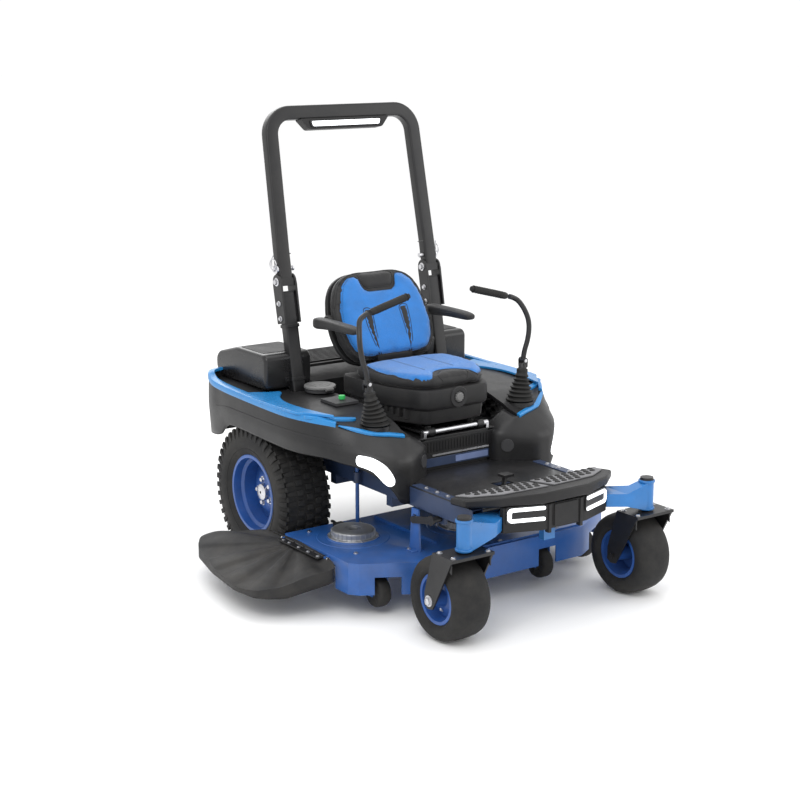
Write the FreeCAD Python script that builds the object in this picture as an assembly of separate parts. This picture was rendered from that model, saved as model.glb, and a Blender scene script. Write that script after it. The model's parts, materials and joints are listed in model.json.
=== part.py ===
import FreeCAD, Part
import math
import os

# A battery zero-turn riding mower, in millimetres. It is drawn in a machine frame: x = 0 is the
# centre plane, y = 0 the rear axle, z = 0 the ground, and the mower faces -Y with its left at +X.
# Every part is then moved by ORIGIN_SHIFT, so that the origin is the foot of the whole bounding box.
ORIGIN_SHIFT = (167.5, 417.5, 0.0)

# wheels
REAR_TYRE_X, REAR_TYRE_R, REAR_TYRE_HALF = 515.0, 305.0, 115.0
REAR_RIM_R, REAR_RIM_HALF = 159.5, 95.0
CASTER_X, CASTER_PIVOT_Y, CASTER_AXLE_Y, CASTER_R = 455.0, -1252.0, -1170.0, 165.0
CASTER_HALF, CASTER_RIM_R, CASTER_RIM_HALF = 82.5, 91.0, 62.0
RIM_FLANGE = 9.0
CASTER_TUBE_R, CASTER_TUBE_Z = 29.0, (361.0, 484.0)
FORK_PLATE_Z, FORK_GAP, FORK_LEG = (345.0, 357.0), 90.0, 8.0
STEM_R, AXLE_R, RUNNING_FIT = 14.0, 10.0, 0.05

# frame
RAIL_X, RAIL_Z, RAIL_Y, WALL = (280.0, 330.0), (390.0, 465.0), (-1140.0, 410.0), 4.0
CROSS_Z, CROSS_WIDTH, CROSS_YS = (350.0, 390.0), 40.0, (365.0, 150.0, -190.0, -600.0)
BEAM_Y, BEAM_Z, BEAM_HALF = (-1200.0, -1140.0), (398.0, 450.0), 300.0
FLOOR_TOP, FLOOR_THICK, FLOOR_Y = 470.0, 5.0, (-1052.0, -616.0)
PLATFORM_HALF = [(370, -1050), (370, -1140), (262, -1232), (110, -1298)]
PLATFORM_TOP = [(-1040, 500), (-1200, 520), (-1300, 535)]
BUMPER_Z = (386.0, 484.0)

# side pods
POD_SIDE_WALL, POD_TOP_THICK, POD_FRONT_Y = 8.0, 16.0, -530.0
POD_OUTLINE = [(272, 400), (596, 400), (622, 310), (632, 150), (633, -110), (624, -300), (588, -440),
               (500, -545), (430, -610), (285, -652), (272, -600)]
POD_EDGE_LINE = [(400, 763), (330, 738), (200, 730), (-450, 714), (-560, 684), (-660, 644)]
POD_DECK_LINE = [(400, 730), (200, 730), (-450, 714), (-560, 684), (-660, 644)]
POD_LOWER_LINE = [(-530, 567), (-468, 566), (-318, 570), (-49, 579), (134, 579), (215, 540),
                  (258, 506), (400, 490)]
NOSE_OUTLINE = [(166, -532), (166, -640), (300, -733), (363, -742), (400, -739), (461, -690),
                (505, -612), (560, -532)]
NOSE_PROFILE = [(-532, 391), (-742, 391), (-742, 570), (-652, 632), (-560, 666), (-532, 672)]
TRIM_WIDTH, TRIM_THICK, TRIM_INNER_X = 38.0, 12.0, 430.0

# seat
SEAT_PIVOT = (-600.0, 626.0)
BACK_LEAN, BACK_FOOT = 26.0, (-190.0, 850.0)
BACK_OUTLINE = [(-150, 0), (-232, 55), (-258, 140), (-240, 260), (-195, 350), (-140, 398), (-60, 408)]
CUSHION_PLAN = [(120, -612), (178, -560), (244, -410), (246, -300), (225, -190)]
HOUSING_PLAN = [(110, -622), (160, -600), (185, -550), (243, -410), (240, -130)]
ARMREST_X, ARMREST_PIVOT, ARMREST_TIP_Y = (268.0, 322.0), (-40.0, 1010.0), -330.0
KNOB_Z, KNOB_R = 761.0, 20.0

# charge port
CHARGE_CENTRE = (-322.0, -80.0)

# steering levers
LEVER_FOOT, BOOT_R, BOOT_TOP_Z = (372.0, -562.0, 716.0), 54.0, 820.0
LEVER_BOSS_Z, LEVER_BOSS_R = (656.0, 684.0), 60.0
LEVER_SHAFT_R, LEVER_LUG_X, LEVER_LUG_TOP = 8.0, (30.0, 42.0), 711.0
LEVER_HINGE = (398.0, -548.0, 852.0)
LEVER_BENDS = [(398, -548, 852), (401, -548, 886), (422, -549, 935), (434, -545, 1010), (400, -498, 1108),
               (352, -494, 1122)]
GRIP_END = (156, -494, 1174)
STALK_R, GRIP_R, HUB_R = 11.0, 15.0, 12.0

# roll-over hoop: a plane that leans back, s measured up it from the foot point
HOOP_LEAN, HOOP_FOOT = 11.26, (21.0, 792.0)
HOOP_LEG_X, HOOP_TUBE, HOOP_DEPTH = 380.0, 60.0, 46.0
HOOP_PIVOT_S, HOOP_LEG_FOOT_S, HOOP_TOP_S, HOOP_CORNER_R = 392.0, 362.0, 1128.0, 120.0
POST_FOOT_S, POST_TOP_S, HINGE_PLATE, LOCK_PIN_S = -190.0, 346.0, 8.0, 445.0
PIVOT_BOLT_R, LOCK_PIN_R = 8.0, 8.0

# mower deck
DECK_Z, DECK_WALL = (95.0, 222.0), 5.0
DECK_OUTLINE = [(-650, -320), (-650, -780), (-622, -815), (-400, -945), (400, -945), (622, -815),
                (650, -780), (650, -320)]
SPINDLES = {"right": (-452.0, -520.0), "centre": (0.0, -655.0), "left": (452.0, -520.0)}
BLADE_R, BLADE_WIDTH, BLADE_Z, SPINDLE_R = 188.0, 58.0, (126.0, 132.0), 12.5
MOTOR_R, MOTOR_HEIGHT = 88.0, 38.0
ROLLERS = {"outer_right": (-525.0, -800.0), "inner_right": (-212.0, -900.0),
           "inner_left": (212.0, -900.0), "outer_left": (525.0, -800.0)}
ROLLER_R, ROLLER_HALF, ROLLER_Z, ROLLER_BOLT_R = 62.0, 30.0, 90.0, 8.0
GUIDE_X, GUIDE_Y, GUIDE_R = 350.0, -400.0, 8.0
CHUTE_HINGE = (-664.0, 206.0)
CHUTE_SLOPE = 17.0
CHUTE_OUTLINE = [(-664, -330), (-664, -700), (-690, -760), (-900, -665), (-965, -610), (-985, -480),
                 (-955, -250), (-900, -30), (-850, 35), (-790, 10), (-664, -190)]

# deck lift
LIFT_SHAFT, LIFT_ARM, LIFT_REST = (-920.0, 375.0), 120.0, 12.0
PEDAL = (-14.0, -943.0, 505.0)


def vec(x, y, z):
    return FreeCAD.Vector(x, y, z)


def box(x0, x1, y0, y1, z0, z1):
    return Part.makeBox(x1 - x0, y1 - y0, z1 - z0, vec(x0, y0, z0))


def box_tube(x0, x1, y0, y1, z0, z1, wall=WALL):
    """A square tube along Y."""
    return box(x0, x1, y0, y1, z0, z1).cut(box(x0 + wall, x1 - wall, y0 - 1, y1 + 1, z0 + wall, z1 - wall))


def rod(start, direction, radius, length):
    return Part.makeCylinder(radius, length, vec(*start), vec(*direction))


def bar(start, end, radius):
    """A round bar between two points."""
    a, b = vec(*start), vec(*end)
    return Part.makeCylinder(radius, (b - a).Length, a, b - a)


def bent_bar(points, radius):
    """A round bar along straight runs joined by tangent arcs, each using 0.45 of its shorter run."""
    edges, start = [], points[0]
    for before, corner, after in zip(points, points[1:], points[2:]):
        back, ahead = before - corner, after - corner
        reach = 0.45 * min(back.Length, ahead.Length)
        back.normalize()
        ahead.normalize()
        middle_way = (back + ahead).normalize()
        half_turn = back.getAngle(ahead) / 2
        centre_distance = reach / math.cos(half_turn)
        middle = corner + middle_way * (centre_distance - reach * math.tan(half_turn))
        first, last = corner + back * reach, corner + ahead * reach
        edges.append(Part.LineSegment(start, first).toShape())
        edges.append(Part.Arc(first, middle, last).toShape())
        start = last
    edges.append(Part.LineSegment(start, points[-1]).toShape())
    profile = Part.Wire(Part.makeCircle(radius, points[0], points[1] - points[0]))
    return Part.Wire(edges).makePipeShell([profile], True, False)


def prism(points, axis, low, high):
    """A flat outline pushed along one axis: (y, z) along x, (x, z) along y, (x, y) along z."""
    place = {
        "x": lambda a, b: vec(low, a, b),
        "y": lambda a, b: vec(a, low, b),
        "z": lambda a, b: vec(a, b, low),
    }[axis]
    push = {"x": vec(high - low, 0, 0), "y": vec(0, high - low, 0), "z": vec(0, 0, high - low)}[axis]
    wire = Part.makePolygon([place(a, b) for a, b in points] + [place(*points[0])])
    return Part.Face(wire).extrude(push)


def turned(profile, centre):
    """A solid of revolution about the X axis through centre; the profile holds (offset, radius) points."""
    points = [vec(centre[0] + offset, centre[1], centre[2] + radius) for offset, radius in profile]
    face = Part.Face(Part.makePolygon(points + [points[0]]))
    return face.revolve(vec(*centre), vec(1, 0, 0), 360)


def mirrored(shape):
    return shape.mirror(vec(0, 0, 0), vec(1, 0, 0))


def both_sides(shape):
    return Part.makeCompound([shape, mirrored(shape)])


def symmetric(right_half):
    """The whole (x, y) outline from its half at +X."""
    return right_half + [(-x, y) for x, y in reversed(right_half)]


def fused(shapes):
    return shapes[0].multiFuse(shapes[1:]).removeSplitter()


def inset(outline, distance):
    """The face of an outline moved inwards by a distance, at z = 0."""
    wire = Part.makePolygon([vec(x, y, 0) for x, y in outline + outline[:1]])
    return Part.Face(wire).makeOffset2D(-distance, 2)


def ring(outline, inner, low, high, outer=0.0):
    """The upright wall between two insets of an outline."""
    plan = inset(outline, outer).cut(inset(outline, inner))
    plan.translate(vec(0, 0, low))
    return plan.extrude(vec(0, 0, high - low))


def band(line, below, above):
    """The (y, z) outline of a layer that follows a line."""
    upper = [(y, z + above) for y, z in line]
    lower = [(y, z - below) for y, z in reversed(line)]
    return upper + lower


def lean_point(x, s, n):
    """A point of the roll-over hoop's leaning frame: s up it, n behind it."""
    angle = math.radians(HOOP_LEAN)
    y = HOOP_FOOT[0] + s * math.sin(angle) + n * math.cos(angle)
    z = HOOP_FOOT[1] + s * math.cos(angle) - n * math.sin(angle)
    return vec(x, y, z)


def strip(x0, x1, s0, s1):
    return [(x0, s0), (x1, s0), (x1, s1), (x0, s1)]


def lean_prism(points, front, back):
    """An outline in the hoop's (x, s) plane, between two depths."""
    wire = Part.makePolygon([lean_point(x, s, front) for x, s in points + points[:1]])
    return Part.Face(wire).extrude(lean_point(0, 0, back) - lean_point(0, 0, front))


# ---- frame ----

def main_frame():
    rail = box_tube(*RAIL_X, *RAIL_Y, *RAIL_Z)
    sleeve_z = (RAIL_Z[0] + 15, RAIL_Z[1] - 15)
    height = sleeve_z[1] - sleeve_z[0]
    sleeve = rod((GUIDE_X, GUIDE_Y, sleeve_z[0]), (0, 0, 1), 16, height)
    lug = box(RAIL_X[1] - 1, GUIDE_X, GUIDE_Y - 12, GUIDE_Y + 12, *sleeve_z)
    bore = rod((GUIDE_X, GUIDE_Y, sleeve_z[0] - 1), (0, 0, 1), GUIDE_R + RUNNING_FIT, height + 2)
    bearing = box(296, 314, LIFT_SHAFT[0] - 22, LIFT_SHAFT[0] + 22, LIFT_SHAFT[1] - 20, RAIL_Z[0])
    shaft_hole = rod((290, *LIFT_SHAFT), (1, 0, 0), 12 + RUNNING_FIT, 30)
    rail = fused([rail, sleeve, lug, bearing]).cut(bore).cut(shaft_hole)
    half = CROSS_WIDTH / 2
    tubes = [box(-RAIL_X[1], RAIL_X[1], y - half, y + half, *CROSS_Z) for y in CROSS_YS]
    return Part.makeCompound([rail, mirrored(rail)] + tubes)


def front_axle():
    beam = box(-BEAM_HALF, BEAM_HALF, *BEAM_Y, *BEAM_Z)
    arm_plan = [(262, BEAM_Y[1]), (262, -1232), (330, -1278), (450, -1278), (450, -1226), (385, -1222),
                (330, -1140)]
    arm = prism(arm_plan, "z", *CASTER_TUBE_Z)
    arm_side = [(262, 398), (330, 398), (430, 366), (460, 366), (460, 474), (430, 474), (330, 450),
                (262, 450)]
    side = prism(arm_side, "y", -1300, -1100)
    foot, height = (CASTER_X, CASTER_PIVOT_Y, CASTER_TUBE_Z[0]), CASTER_TUBE_Z[1] - CASTER_TUBE_Z[0]
    tube = rod(foot, (0, 0, 1), CASTER_TUBE_R, height)
    bore = rod(foot, (0, 0, 1), STEM_R + RUNNING_FIT, height)
    end = arm.common(side).fuse(tube).cut(bore)
    post = box(-28, 28, BEAM_Y[0], BEAM_Y[0] + 30, 308, BEAM_Z[0] + 1)
    return fused([beam, end, mirrored(end), post])


def floor_pan():
    """The floor sheet, with a slot for the pedal's stalk and notches round the noses of the side pods."""
    pan = box(-RAIL_X[1], RAIL_X[1], *FLOOR_Y, FLOOR_TOP - FLOOR_THICK, FLOOR_TOP)
    slot = box(PEDAL[0] - 40, PEDAL[0] + 40, -1020, -900, FLOOR_TOP - FLOOR_THICK - 1, FLOOR_TOP + 1)
    return pan.cut(slot).cut(both_sides(prism(NOSE_OUTLINE, "z", FLOOR_TOP - 20, FLOOR_TOP + 20)))


def foot_platform():
    plan = prism(symmetric(PLATFORM_HALF), "z", 470, 560)
    side = prism(PLATFORM_TOP + [(-1300, 490), (-1040, 472)], "x", -400, 400)
    return plan.common(side)


def tread_pads():
    pad = prism([(14, -1060), (14, -1205), (225, -1190), (330, -1125), (350, -1060)], "z", 480, 560)
    layer = prism(band([(-1040, 500), (-1200, 520), (-1300, 533)], -0.2, 6), "x", 0, 400)
    return both_sides(pad.common(layer))


def front_bumper():
    plan = [(-258, -1234), (-108, -1288), (108, -1288), (258, -1234), (258, -1214), (108, -1266),
            (-108, -1266), (-258, -1214)]
    face = prism(plan, "z", *BUMPER_Z)
    panel = box(-58, 58, -1296, -1287, BUMPER_Z[0] + 10, BUMPER_Z[1] - 4)
    ribs = [box(x - 7, x + 7, -1294, -1270, BUMPER_Z[0] - 14, BUMPER_Z[1]) for x in (-78, 78)]
    return fused([face, panel] + ribs)


def front_lights():
    """A C-shaped lamp each side of the bumper and a crescent lamp on each nose panel."""
    plan = [(104, -1297), (244, -1249), (244, -1241), (104, -1291)]
    c_shape = prism([(104, 426), (236, 426), (246, 436), (246, 472), (236, 482), (104, 482), (104, 468),
                     (228, 468), (232, 464), (232, 444), (228, 440), (104, 440)], "y", -1320, -1200)
    c_lamp = prism(plan, "z", 420, 490).common(c_shape)
    lens = ring(NOSE_OUTLINE, -0.5, 470, 640, -7.0)
    crescent = prism([(392, 474), (412, 470), (468, 530), (514, 566), (522, 602), (470, 596), (402, 522)],
                     "y", -800, -560)
    lamp = lens.common(crescent)
    return Part.makeCompound([c_lamp, mirrored(c_lamp), lamp, mirrored(lamp)])


# ---- bodywork ----

def side_panel():
    wall = ring(POD_OUTLINE, POD_SIDE_WALL, 480, 800)
    profile = prism(POD_EDGE_LINE[:4] + [(POD_FRONT_Y, 692)] + POD_LOWER_LINE, "x", 300, 700)
    return wall.common(profile)


def lever_lugs():
    """Two lugs with a half-round seat each, which carry the lever's cross shaft."""
    x, y, z = LEVER_FOOT
    lugs = [box(x + low, x + high, y - 9, y + 9, LEVER_BOSS_Z[0], LEVER_LUG_TOP)
            for low, high in (LEVER_LUG_X, [-reach for reach in reversed(LEVER_LUG_X)])]
    return fused(lugs).cut(rod((x - 60, y, z), (1, 0, 0), LEVER_SHAFT_R + RUNNING_FIT, 120))


def pod_top():
    plan = inset(POD_OUTLINE, POD_SIDE_WALL + 0.2).extrude(vec(0, 0, 900))
    slab = plan.common(prism(band(POD_DECK_LINE, POD_TOP_THICK, 0), "x", 200, 700))
    boss_low, boss_high = LEVER_BOSS_Z
    boss = rod((LEVER_FOOT[0], LEVER_FOOT[1], boss_low), (0, 0, 1), LEVER_BOSS_R, boss_high - boss_low)
    slab = fused([slab, boss, lever_lugs()])
    post_slot = box(350, 418, -30, 78, 600, 800)
    return slab.cut(post_slot)


def pod_tops():
    return both_sides(pod_top())


def pod_trim():
    edge_strip = ring(POD_OUTLINE, TRIM_WIDTH, 600, 800, -1.5)
    layer = prism(band([(y, z + 0.3) for y, z in POD_EDGE_LINE], 0, TRIM_THICK), "x", TRIM_INNER_X, 700)
    return edge_strip.common(layer).cut(box(250, 500, 300, 390, 600, 800)).cut(pod_top())


def pod_trims():
    return both_sides(pod_trim())


def nose_panel():
    body = prism(NOSE_OUTLINE, "z", 380, 700).common(prism(NOSE_PROFILE, "x", 100, 700))
    below = prism([(366, 380), (396, 488), (461, 560), (505, 567), (700, 567), (700, 380)], "y", -800, -500)
    hollow = prism([(178, -530), (178, -628), (300, -712), (346, -716), (346, -530)], "z", 380, 620)
    beside_seat = box(100, 276, -660, -500, 600, 700)
    rail_slot = box(RAIL_X[0] - 1, RAIL_X[1] + 1, -800, -500, 380, RAIL_Z[1] + 1)
    return body.cut(below).cut(hollow).cut(beside_seat).cut(rail_slot).cut(pod_top())


def pod_panels():
    """The outer wall and the nose of each side pod."""
    side, nose = side_panel(), nose_panel()
    return Part.makeCompound([side, mirrored(side), nose, mirrored(nose)])


def rear_boxes():
    profile = [(15, 731), (15, 868), (32, 885), (262, 885), (420, 842), (440, 815), (440, 760), (400, 731)]
    case = prism(profile, "x", 302, 530)
    side_edges = [e for e in case.Edges if abs(e.BoundBox.XLength) < 1 and e.BoundBox.ZMin > 800]
    case = case.makeFillet(16, side_edges)
    post_slot = box(346, 420, 0, 86, 700, 900)
    return both_sides(case.cut(post_slot).cut(side_panel()).cut(pod_trim()))


def rear_grille():
    frame = box(-298, 298, 62, 330, 800, 812).cut(box(-280, 280, 80, 312, 790, 830))
    slats = [box(-281, 281, y, y + 10, 800, 818) for y in range(88, 310, 22)]
    legs = [box(x, x + 18, 62, 330, 736, 801) for x in (-298, 280)]
    return fused([frame] + slats + legs)


def battery_housing():
    shell = box(-268, 268, 60, 420, 470, 735).cut(box(-262, 262, 66, 414, 464, 729))
    return shell.cut(box(-200, 200, 410, 430, 520, 680))


def battery_packs():
    front = [box(x, x + 250, -525, -70, RAIL_Z[0] + 1, 590) for x in (-255, 5)]
    rear = [box(x, x + 250, 80, 340, 400, 700) for x in (-255, 5)]
    controller = box(-180, 180, 350, 405, 480, 660)
    return Part.makeCompound(front + rear + [controller])


def drive_motors():
    case = rod((335, 0, REAR_TYRE_R), (1, 0, 0), 92, 150)
    flange = box(318, 336, -105, 105, 210, RAIL_Z[0])
    spindle = rod((484, 0, REAR_TYRE_R), (1, 0, 0), 19.95, 74)
    return both_sides(fused([case, flange, spindle]))


def seat_console():
    panel = box(-162, 162, -612, -604, 392, 600)
    top = box(-262, 262, -612, 40, 600, 606)
    side = box(256, 262, -604, 40, 470, 600)
    return fused([panel, top, side, mirrored(side)])


def pivot_pins():
    """The rod that the seat plate tips on, in its two lugs, and the roll-over hoop's two pivot bolts."""
    seat_rod = rod((-166, *SEAT_PIVOT), (1, 0, 0), 11, 332)
    lugs = [box(x, x + 12, SEAT_PIVOT[0] - 11, SEAT_PIVOT[0] + 11, 606, 630) for x in (-166, 154)]
    bolt_x = HOOP_LEG_X - HOOP_TUBE / 2 - HINGE_PLATE - 12
    pivot = lean_point(bolt_x, HOOP_PIVOT_S, 0)
    bolt = rod(pivot, (1, 0, 0), PIVOT_BOLT_R, HOOP_TUBE + 2 * HINGE_PLATE + 24)
    return Part.makeCompound([fused([seat_rod] + lugs), bolt, mirrored(bolt)])


def hitch_bracket():
    upright = box(-60, 60, 412, 424, 300, 465)
    shelf = box(-60, 60, 412, 500, 300, 312)
    return fused([upright, shelf]).cut(rod((0, 470, 290), (0, 0, 1), 9.5, 40))


def control_fittings():
    """The control panel and the neck that the charge cover closes."""
    x, y = CHARGE_CENTRE
    neck = rod((x, y, 728), (0, 0, 1), 64, 12).cut(rod((x, y, 720), (0, 0, 1), 54, 30))
    base = box(-410, -300, -340, -220, 720, 732)
    panel = base.cut(rod((-350, -290, 700), (0, 0, 1), 5 + RUNNING_FIT, 50))
    return Part.makeCompound([panel, neck])


def pto_knob():
    return fused([rod((-350, -290, 721), (0, 0, 1), 5, 16), rod((-350, -290, 735), (0, 0, 1), 14, 16)])


def charge_cover():
    x, y = CHARGE_CENTRE
    lid = rod((x, y, 742), (0, 0, 1), 68, 12)
    knuckle = rod((x - 18, y - 74, 746), (1, 0, 0), 7, 36)
    arm = box(x - 16, x + 16, y - 74, y - 56, 742, 750)
    return fused([lid, knuckle, arm])


# ---- roll-over hoop ----

def rops_posts():
    half, x = HOOP_TUBE / 2, HOOP_LEG_X
    depth = HOOP_DEPTH / 2
    tube = lean_prism(strip(x - half, x + half, POST_FOOT_S, POST_TOP_S), -depth, depth)
    core = lean_prism(strip(x - half + WALL, x + half - WALL, POST_FOOT_S - 1, POST_TOP_S - 20),
                      -depth + WALL, depth - WALL)
    plates = []
    for inner in (x - half - 1 - HINGE_PLATE, x + half + 1):
        plates.append(lean_prism(strip(inner, inner + HINGE_PLATE, POST_TOP_S - 130, HOOP_PIVOT_S), -32, 32))
        plates.append(rod(lean_point(inner, HOOP_PIVOT_S, 0), (1, 0, 0), 32, HINGE_PLATE))
    webs = [lean_prism(strip(x + start, x + start + 5, POST_TOP_S - 125, POST_TOP_S - 20), -20, 20)
            for start in (-half - 3, half - 2)]
    post = fused([tube.cut(core)] + plates + webs)
    bolt_hole = rod(lean_point(x - 60, HOOP_PIVOT_S, 0), (1, 0, 0), PIVOT_BOLT_R, 120)
    return both_sides(post.cut(bolt_hole))


def hoop_outline(inner):
    """Half of the hoop's outline, from the foot of the left leg to the middle of the top bar."""
    edge = -HOOP_TUBE / 2 if inner else HOOP_TUBE / 2
    radius = HOOP_CORNER_R - (HOOP_TUBE if inner else 0)
    top = HOOP_TOP_S - (HOOP_TUBE if inner else 0)
    shoulder_x = HOOP_LEG_X - 12 + edge
    centre = (shoulder_x - radius, top - radius)
    points = [(HOOP_LEG_X + edge, HOOP_LEG_FOOT_S), (HOOP_LEG_X + edge, HOOP_LEG_FOOT_S + 140)]
    for step in range(0, 7):
        angle = math.radians(15 * step)
        points.append((centre[0] + radius * math.cos(angle), centre[1] + radius * math.sin(angle)))
    return points


def rops_hoop():
    outer, inner = hoop_outline(False), hoop_outline(True)
    outline = symmetric(outer) + list(reversed(symmetric(inner)))
    depth = HOOP_DEPTH / 2
    hoop = lean_prism(outline, -depth, depth)
    foot = lean_prism(strip(-460, 460, HOOP_LEG_FOOT_S - 20, HOOP_PIVOT_S), -60, 60)
    round_foot = [rod(lean_point(side * HOOP_LEG_X - 31, HOOP_PIVOT_S, 0), (1, 0, 0), depth, 62)
                  for side in (-1, 1)]
    legs = hoop.cut(foot)
    rounded = fused([legs] + [hoop.common(end) for end in round_foot])
    for side in (-1, 1):
        start = side * HOOP_LEG_X - 60
        bolt_hole = rod(lean_point(start, HOOP_PIVOT_S, 0), (1, 0, 0), PIVOT_BOLT_R + RUNNING_FIT, 120)
        pin_hole = rod(lean_point(start, LOCK_PIN_S, 0), (1, 0, 0), LOCK_PIN_R, 120)
        rounded = rounded.cut(bolt_hole).cut(pin_hole)
    return rounded


def rops_lock_pins():
    pin = rod(lean_point(HOOP_LEG_X - 44, LOCK_PIN_S, 0), (1, 0, 0), LOCK_PIN_R, 96)
    disc = rod(lean_point(HOOP_LEG_X + 31, LOCK_PIN_S, 0), (1, 0, 0), 19, 10)
    centre = lean_point(HOOP_LEG_X + 49, LOCK_PIN_S + 24, 0)
    clip = Part.makeTorus(20, 2.5, centre, vec(1, 0, 0))
    return both_sides(fused([pin, disc, clip]))


def light_bar():
    """A tapered lamp housing under the top bar of the hoop."""
    low, high = HOOP_TOP_S - HOOP_TUBE - 46, HOOP_TOP_S - HOOP_TUBE
    return lean_prism([(-188, low), (188, low), (226, high), (-226, high)], -34, 14)


def light_bar_lens():
    middle = HOOP_TOP_S - HOOP_TUBE - 24
    face = [(-170, middle - 11), (170, middle - 11), (176, middle + 11), (-176, middle + 11)]
    return lean_prism(face, -40, -34.2)


# ---- seat ----

def seat_plate():
    plate = box(-160, 160, -585, -70, 618, 626)
    rails = [box(x - 15, x + 15, -560, -120, 626, 640) for x in (-110, 110)]
    ears = [rod((x, *SEAT_PIVOT), (1, 0, 0), 17, 30) for x in (-140, 110)]
    bores = rod((-150, *SEAT_PIVOT), (1, 0, 0), 11 + RUNNING_FIT, 300)
    return fused([plate] + rails + ears).cut(bores)


def seat_housing():
    plan = symmetric(HOUSING_PLAN)
    upper = prism(plan, "z", 722, 800)
    lower = inset(plan, 22).extrude(vec(0, 0, 70))
    lower.translate(vec(0, 0, 654))
    runners = [box(x - 15, x + 15, -500, -160, 640.6, 655) for x in (-110, 110)]
    recess = rod((0, -640, KNOB_Z), (0, 1, 0), 36, 32)
    shaft_hole = rod((0, -640, KNOB_Z), (0, 1, 0), 7 + RUNNING_FIT, 70)
    return fused([upper, lower] + runners).cut(recess).cut(shaft_hole)


def weight_knob():
    grip = rod((0, -634, KNOB_Z), (0, 1, 0), KNOB_R, 22)
    return fused([grip, rod((0, -614, KNOB_Z), (0, 1, 0), 7, 36)])


def seat_cushion():
    return prism(symmetric(CUSHION_PLAN), "z", 801, 846)


def back_slab(outline, front, back):
    """A slab in the leaning plane of the seat back; the outline holds (x, height up the back)."""
    angle = math.radians(BACK_LEAN)
    up = vec(0, math.sin(angle), math.cos(angle))
    behind = vec(0, math.cos(angle), -math.sin(angle))
    foot = vec(0, *BACK_FOOT) + behind * front
    full = outline + [(-x, s) for x, s in reversed(outline)]
    points = [foot + vec(x, 0, 0) + up * s for x, s in full]
    return Part.Face(Part.makePolygon(points + points[:1])).extrude(behind * (back - front))


def back_cushion():
    return back_slab(BACK_OUTLINE, 0, 74)


def back_shell():
    slab = back_slab([(x * 1.01, s) for x, s in BACK_OUTLINE], 75, 100)
    mount = box(-90, 90, -170, -132, 800.5, 860).cut(back_slab([(-200, -80), (-200, 100)], 0, 75))
    bosses = [rod((x, *ARMREST_PIVOT), (1, 0, 0), 20, 67) for x in (200, -267)]
    pins = [rod((x, *ARMREST_PIVOT), (1, 0, 0), 8, 44) for x in (260, -304)]
    cushion_space = back_slab([(-200, -40), (-262, 90), (-262, 300), (-120, 430)], -20, 75)
    bosses = [boss.cut(cushion_space) for boss in bosses]
    return fused([slab, mount] + bosses + pins)


def armrest():
    y, z = ARMREST_PIVOT
    profile = [(y + 24, z - 22), (y + 24, z + 16), (y - 10, z + 24), (ARMREST_TIP_Y + 12, z + 20),
               (ARMREST_TIP_Y, z + 6), (ARMREST_TIP_Y + 10, z - 14), (y - 60, z - 20)]
    pin_hole = rod((ARMREST_X[0] - 1, y, z), (1, 0, 0), 8 + RUNNING_FIT, 37.5)
    return prism(profile, "x", *ARMREST_X).cut(pin_hole)


# ---- steering levers ----

def lever_boot():
    """The rubber boot on its cross shaft, with the collar, ears and pin that the lever swings out on."""
    foot, hinge = vec(*LEVER_FOOT), vec(*LEVER_HINGE)
    lean = (hinge - foot).normalize()
    boot_height = (BOOT_TOP_Z - foot.z) / lean.z
    cone = Part.makeCone(BOOT_R, 25, boot_height, foot, lean)
    below = cone.common(box(foot.x - 100, foot.x + 100, foot.y - 100, foot.y + 100, foot.z - 60, foot.z))
    collar_length = (hinge - foot).Length - boot_height - 15
    collar = Part.makeCylinder(21, collar_length, foot + lean * (boot_height - 1), lean)
    hx, hy, hz = LEVER_HINGE
    ears = [box(hx - 11, hx + 11, hy + low, hy + low + 5, hz - 30, hz + 11) for low in (-18.5, 13.5)]
    pin = rod((hx, hy - 18, hz), (0, 1, 0), 5, 36)
    shaft = rod((foot.x - 46, foot.y, foot.z), (1, 0, 0), LEVER_SHAFT_R, 92)
    return fused([cone.cut(below), collar, shaft] + ears + [pin])


def control_lever():
    hx, hy, hz = LEVER_HINGE
    hub = rod((hx, hy - 13, hz), (0, 1, 0), HUB_R, 26)
    elbow, end = vec(*LEVER_BENDS[-1]), vec(*GRIP_END)
    along = (end - elbow).normalize()
    stalk = bent_bar([vec(*p) for p in LEVER_BENDS] + [elbow + along * 50], STALK_R)
    grip_start = elbow + along * 30
    grip = Part.makeCylinder(GRIP_R, (end - grip_start).Length, grip_start, along)
    return fused([hub, stalk, grip]).cut(rod((hx, hy - 20, hz), (0, 1, 0), 5 + RUNNING_FIT, 40))


# ---- wheels ----

def tyre_profile(outer, cavity):
    """The closed section of a tyre from its half: out along the tread, back through the air space."""
    left = [(-x, r) for x, r in outer[:-1]]
    inner = [(-x, r) for x, r in cavity]
    return left + list(reversed(outer)) + list(reversed(cavity)) + inner


def rim_barrel(half, radius):
    """The tube that the tyre sits on, with a flange at each end."""
    depth, flange = radius - 9.5, radius + RIM_FLANGE - 0.5
    side = [(half, radius), (half + 0.5, flange), (half + 6, flange), (half + 6, depth)]
    return [(-x, r) for x, r in reversed(side)] + side


def rear_tyre():
    bead = REAR_RIM_R + RIM_FLANGE
    outer = [(REAR_RIM_HALF, REAR_RIM_R + 0.5), (REAR_RIM_HALF, bead), (112, 190), (REAR_TYRE_HALF, 230),
             (108, 266), (92, 291), (70, 303), (0, REAR_TYRE_R)]
    cavity = [(60, 287), (80, 278), (94, 262), (100, 230), (97, 192), (80, REAR_RIM_R + 0.5)]
    return turned(tyre_profile(outer, cavity), (REAR_TYRE_X, 0, REAR_TYRE_R))


def rear_rim():
    centre = (REAR_TYRE_X, 0, REAR_TYRE_R)
    dish = [(0, 152), (8, 152), (44, 66), (44, 20), (-8, 20), (-8, 62)]
    return fused([turned(rim_barrel(REAR_RIM_HALF, REAR_RIM_R), centre), turned(dish, centre)])


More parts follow.
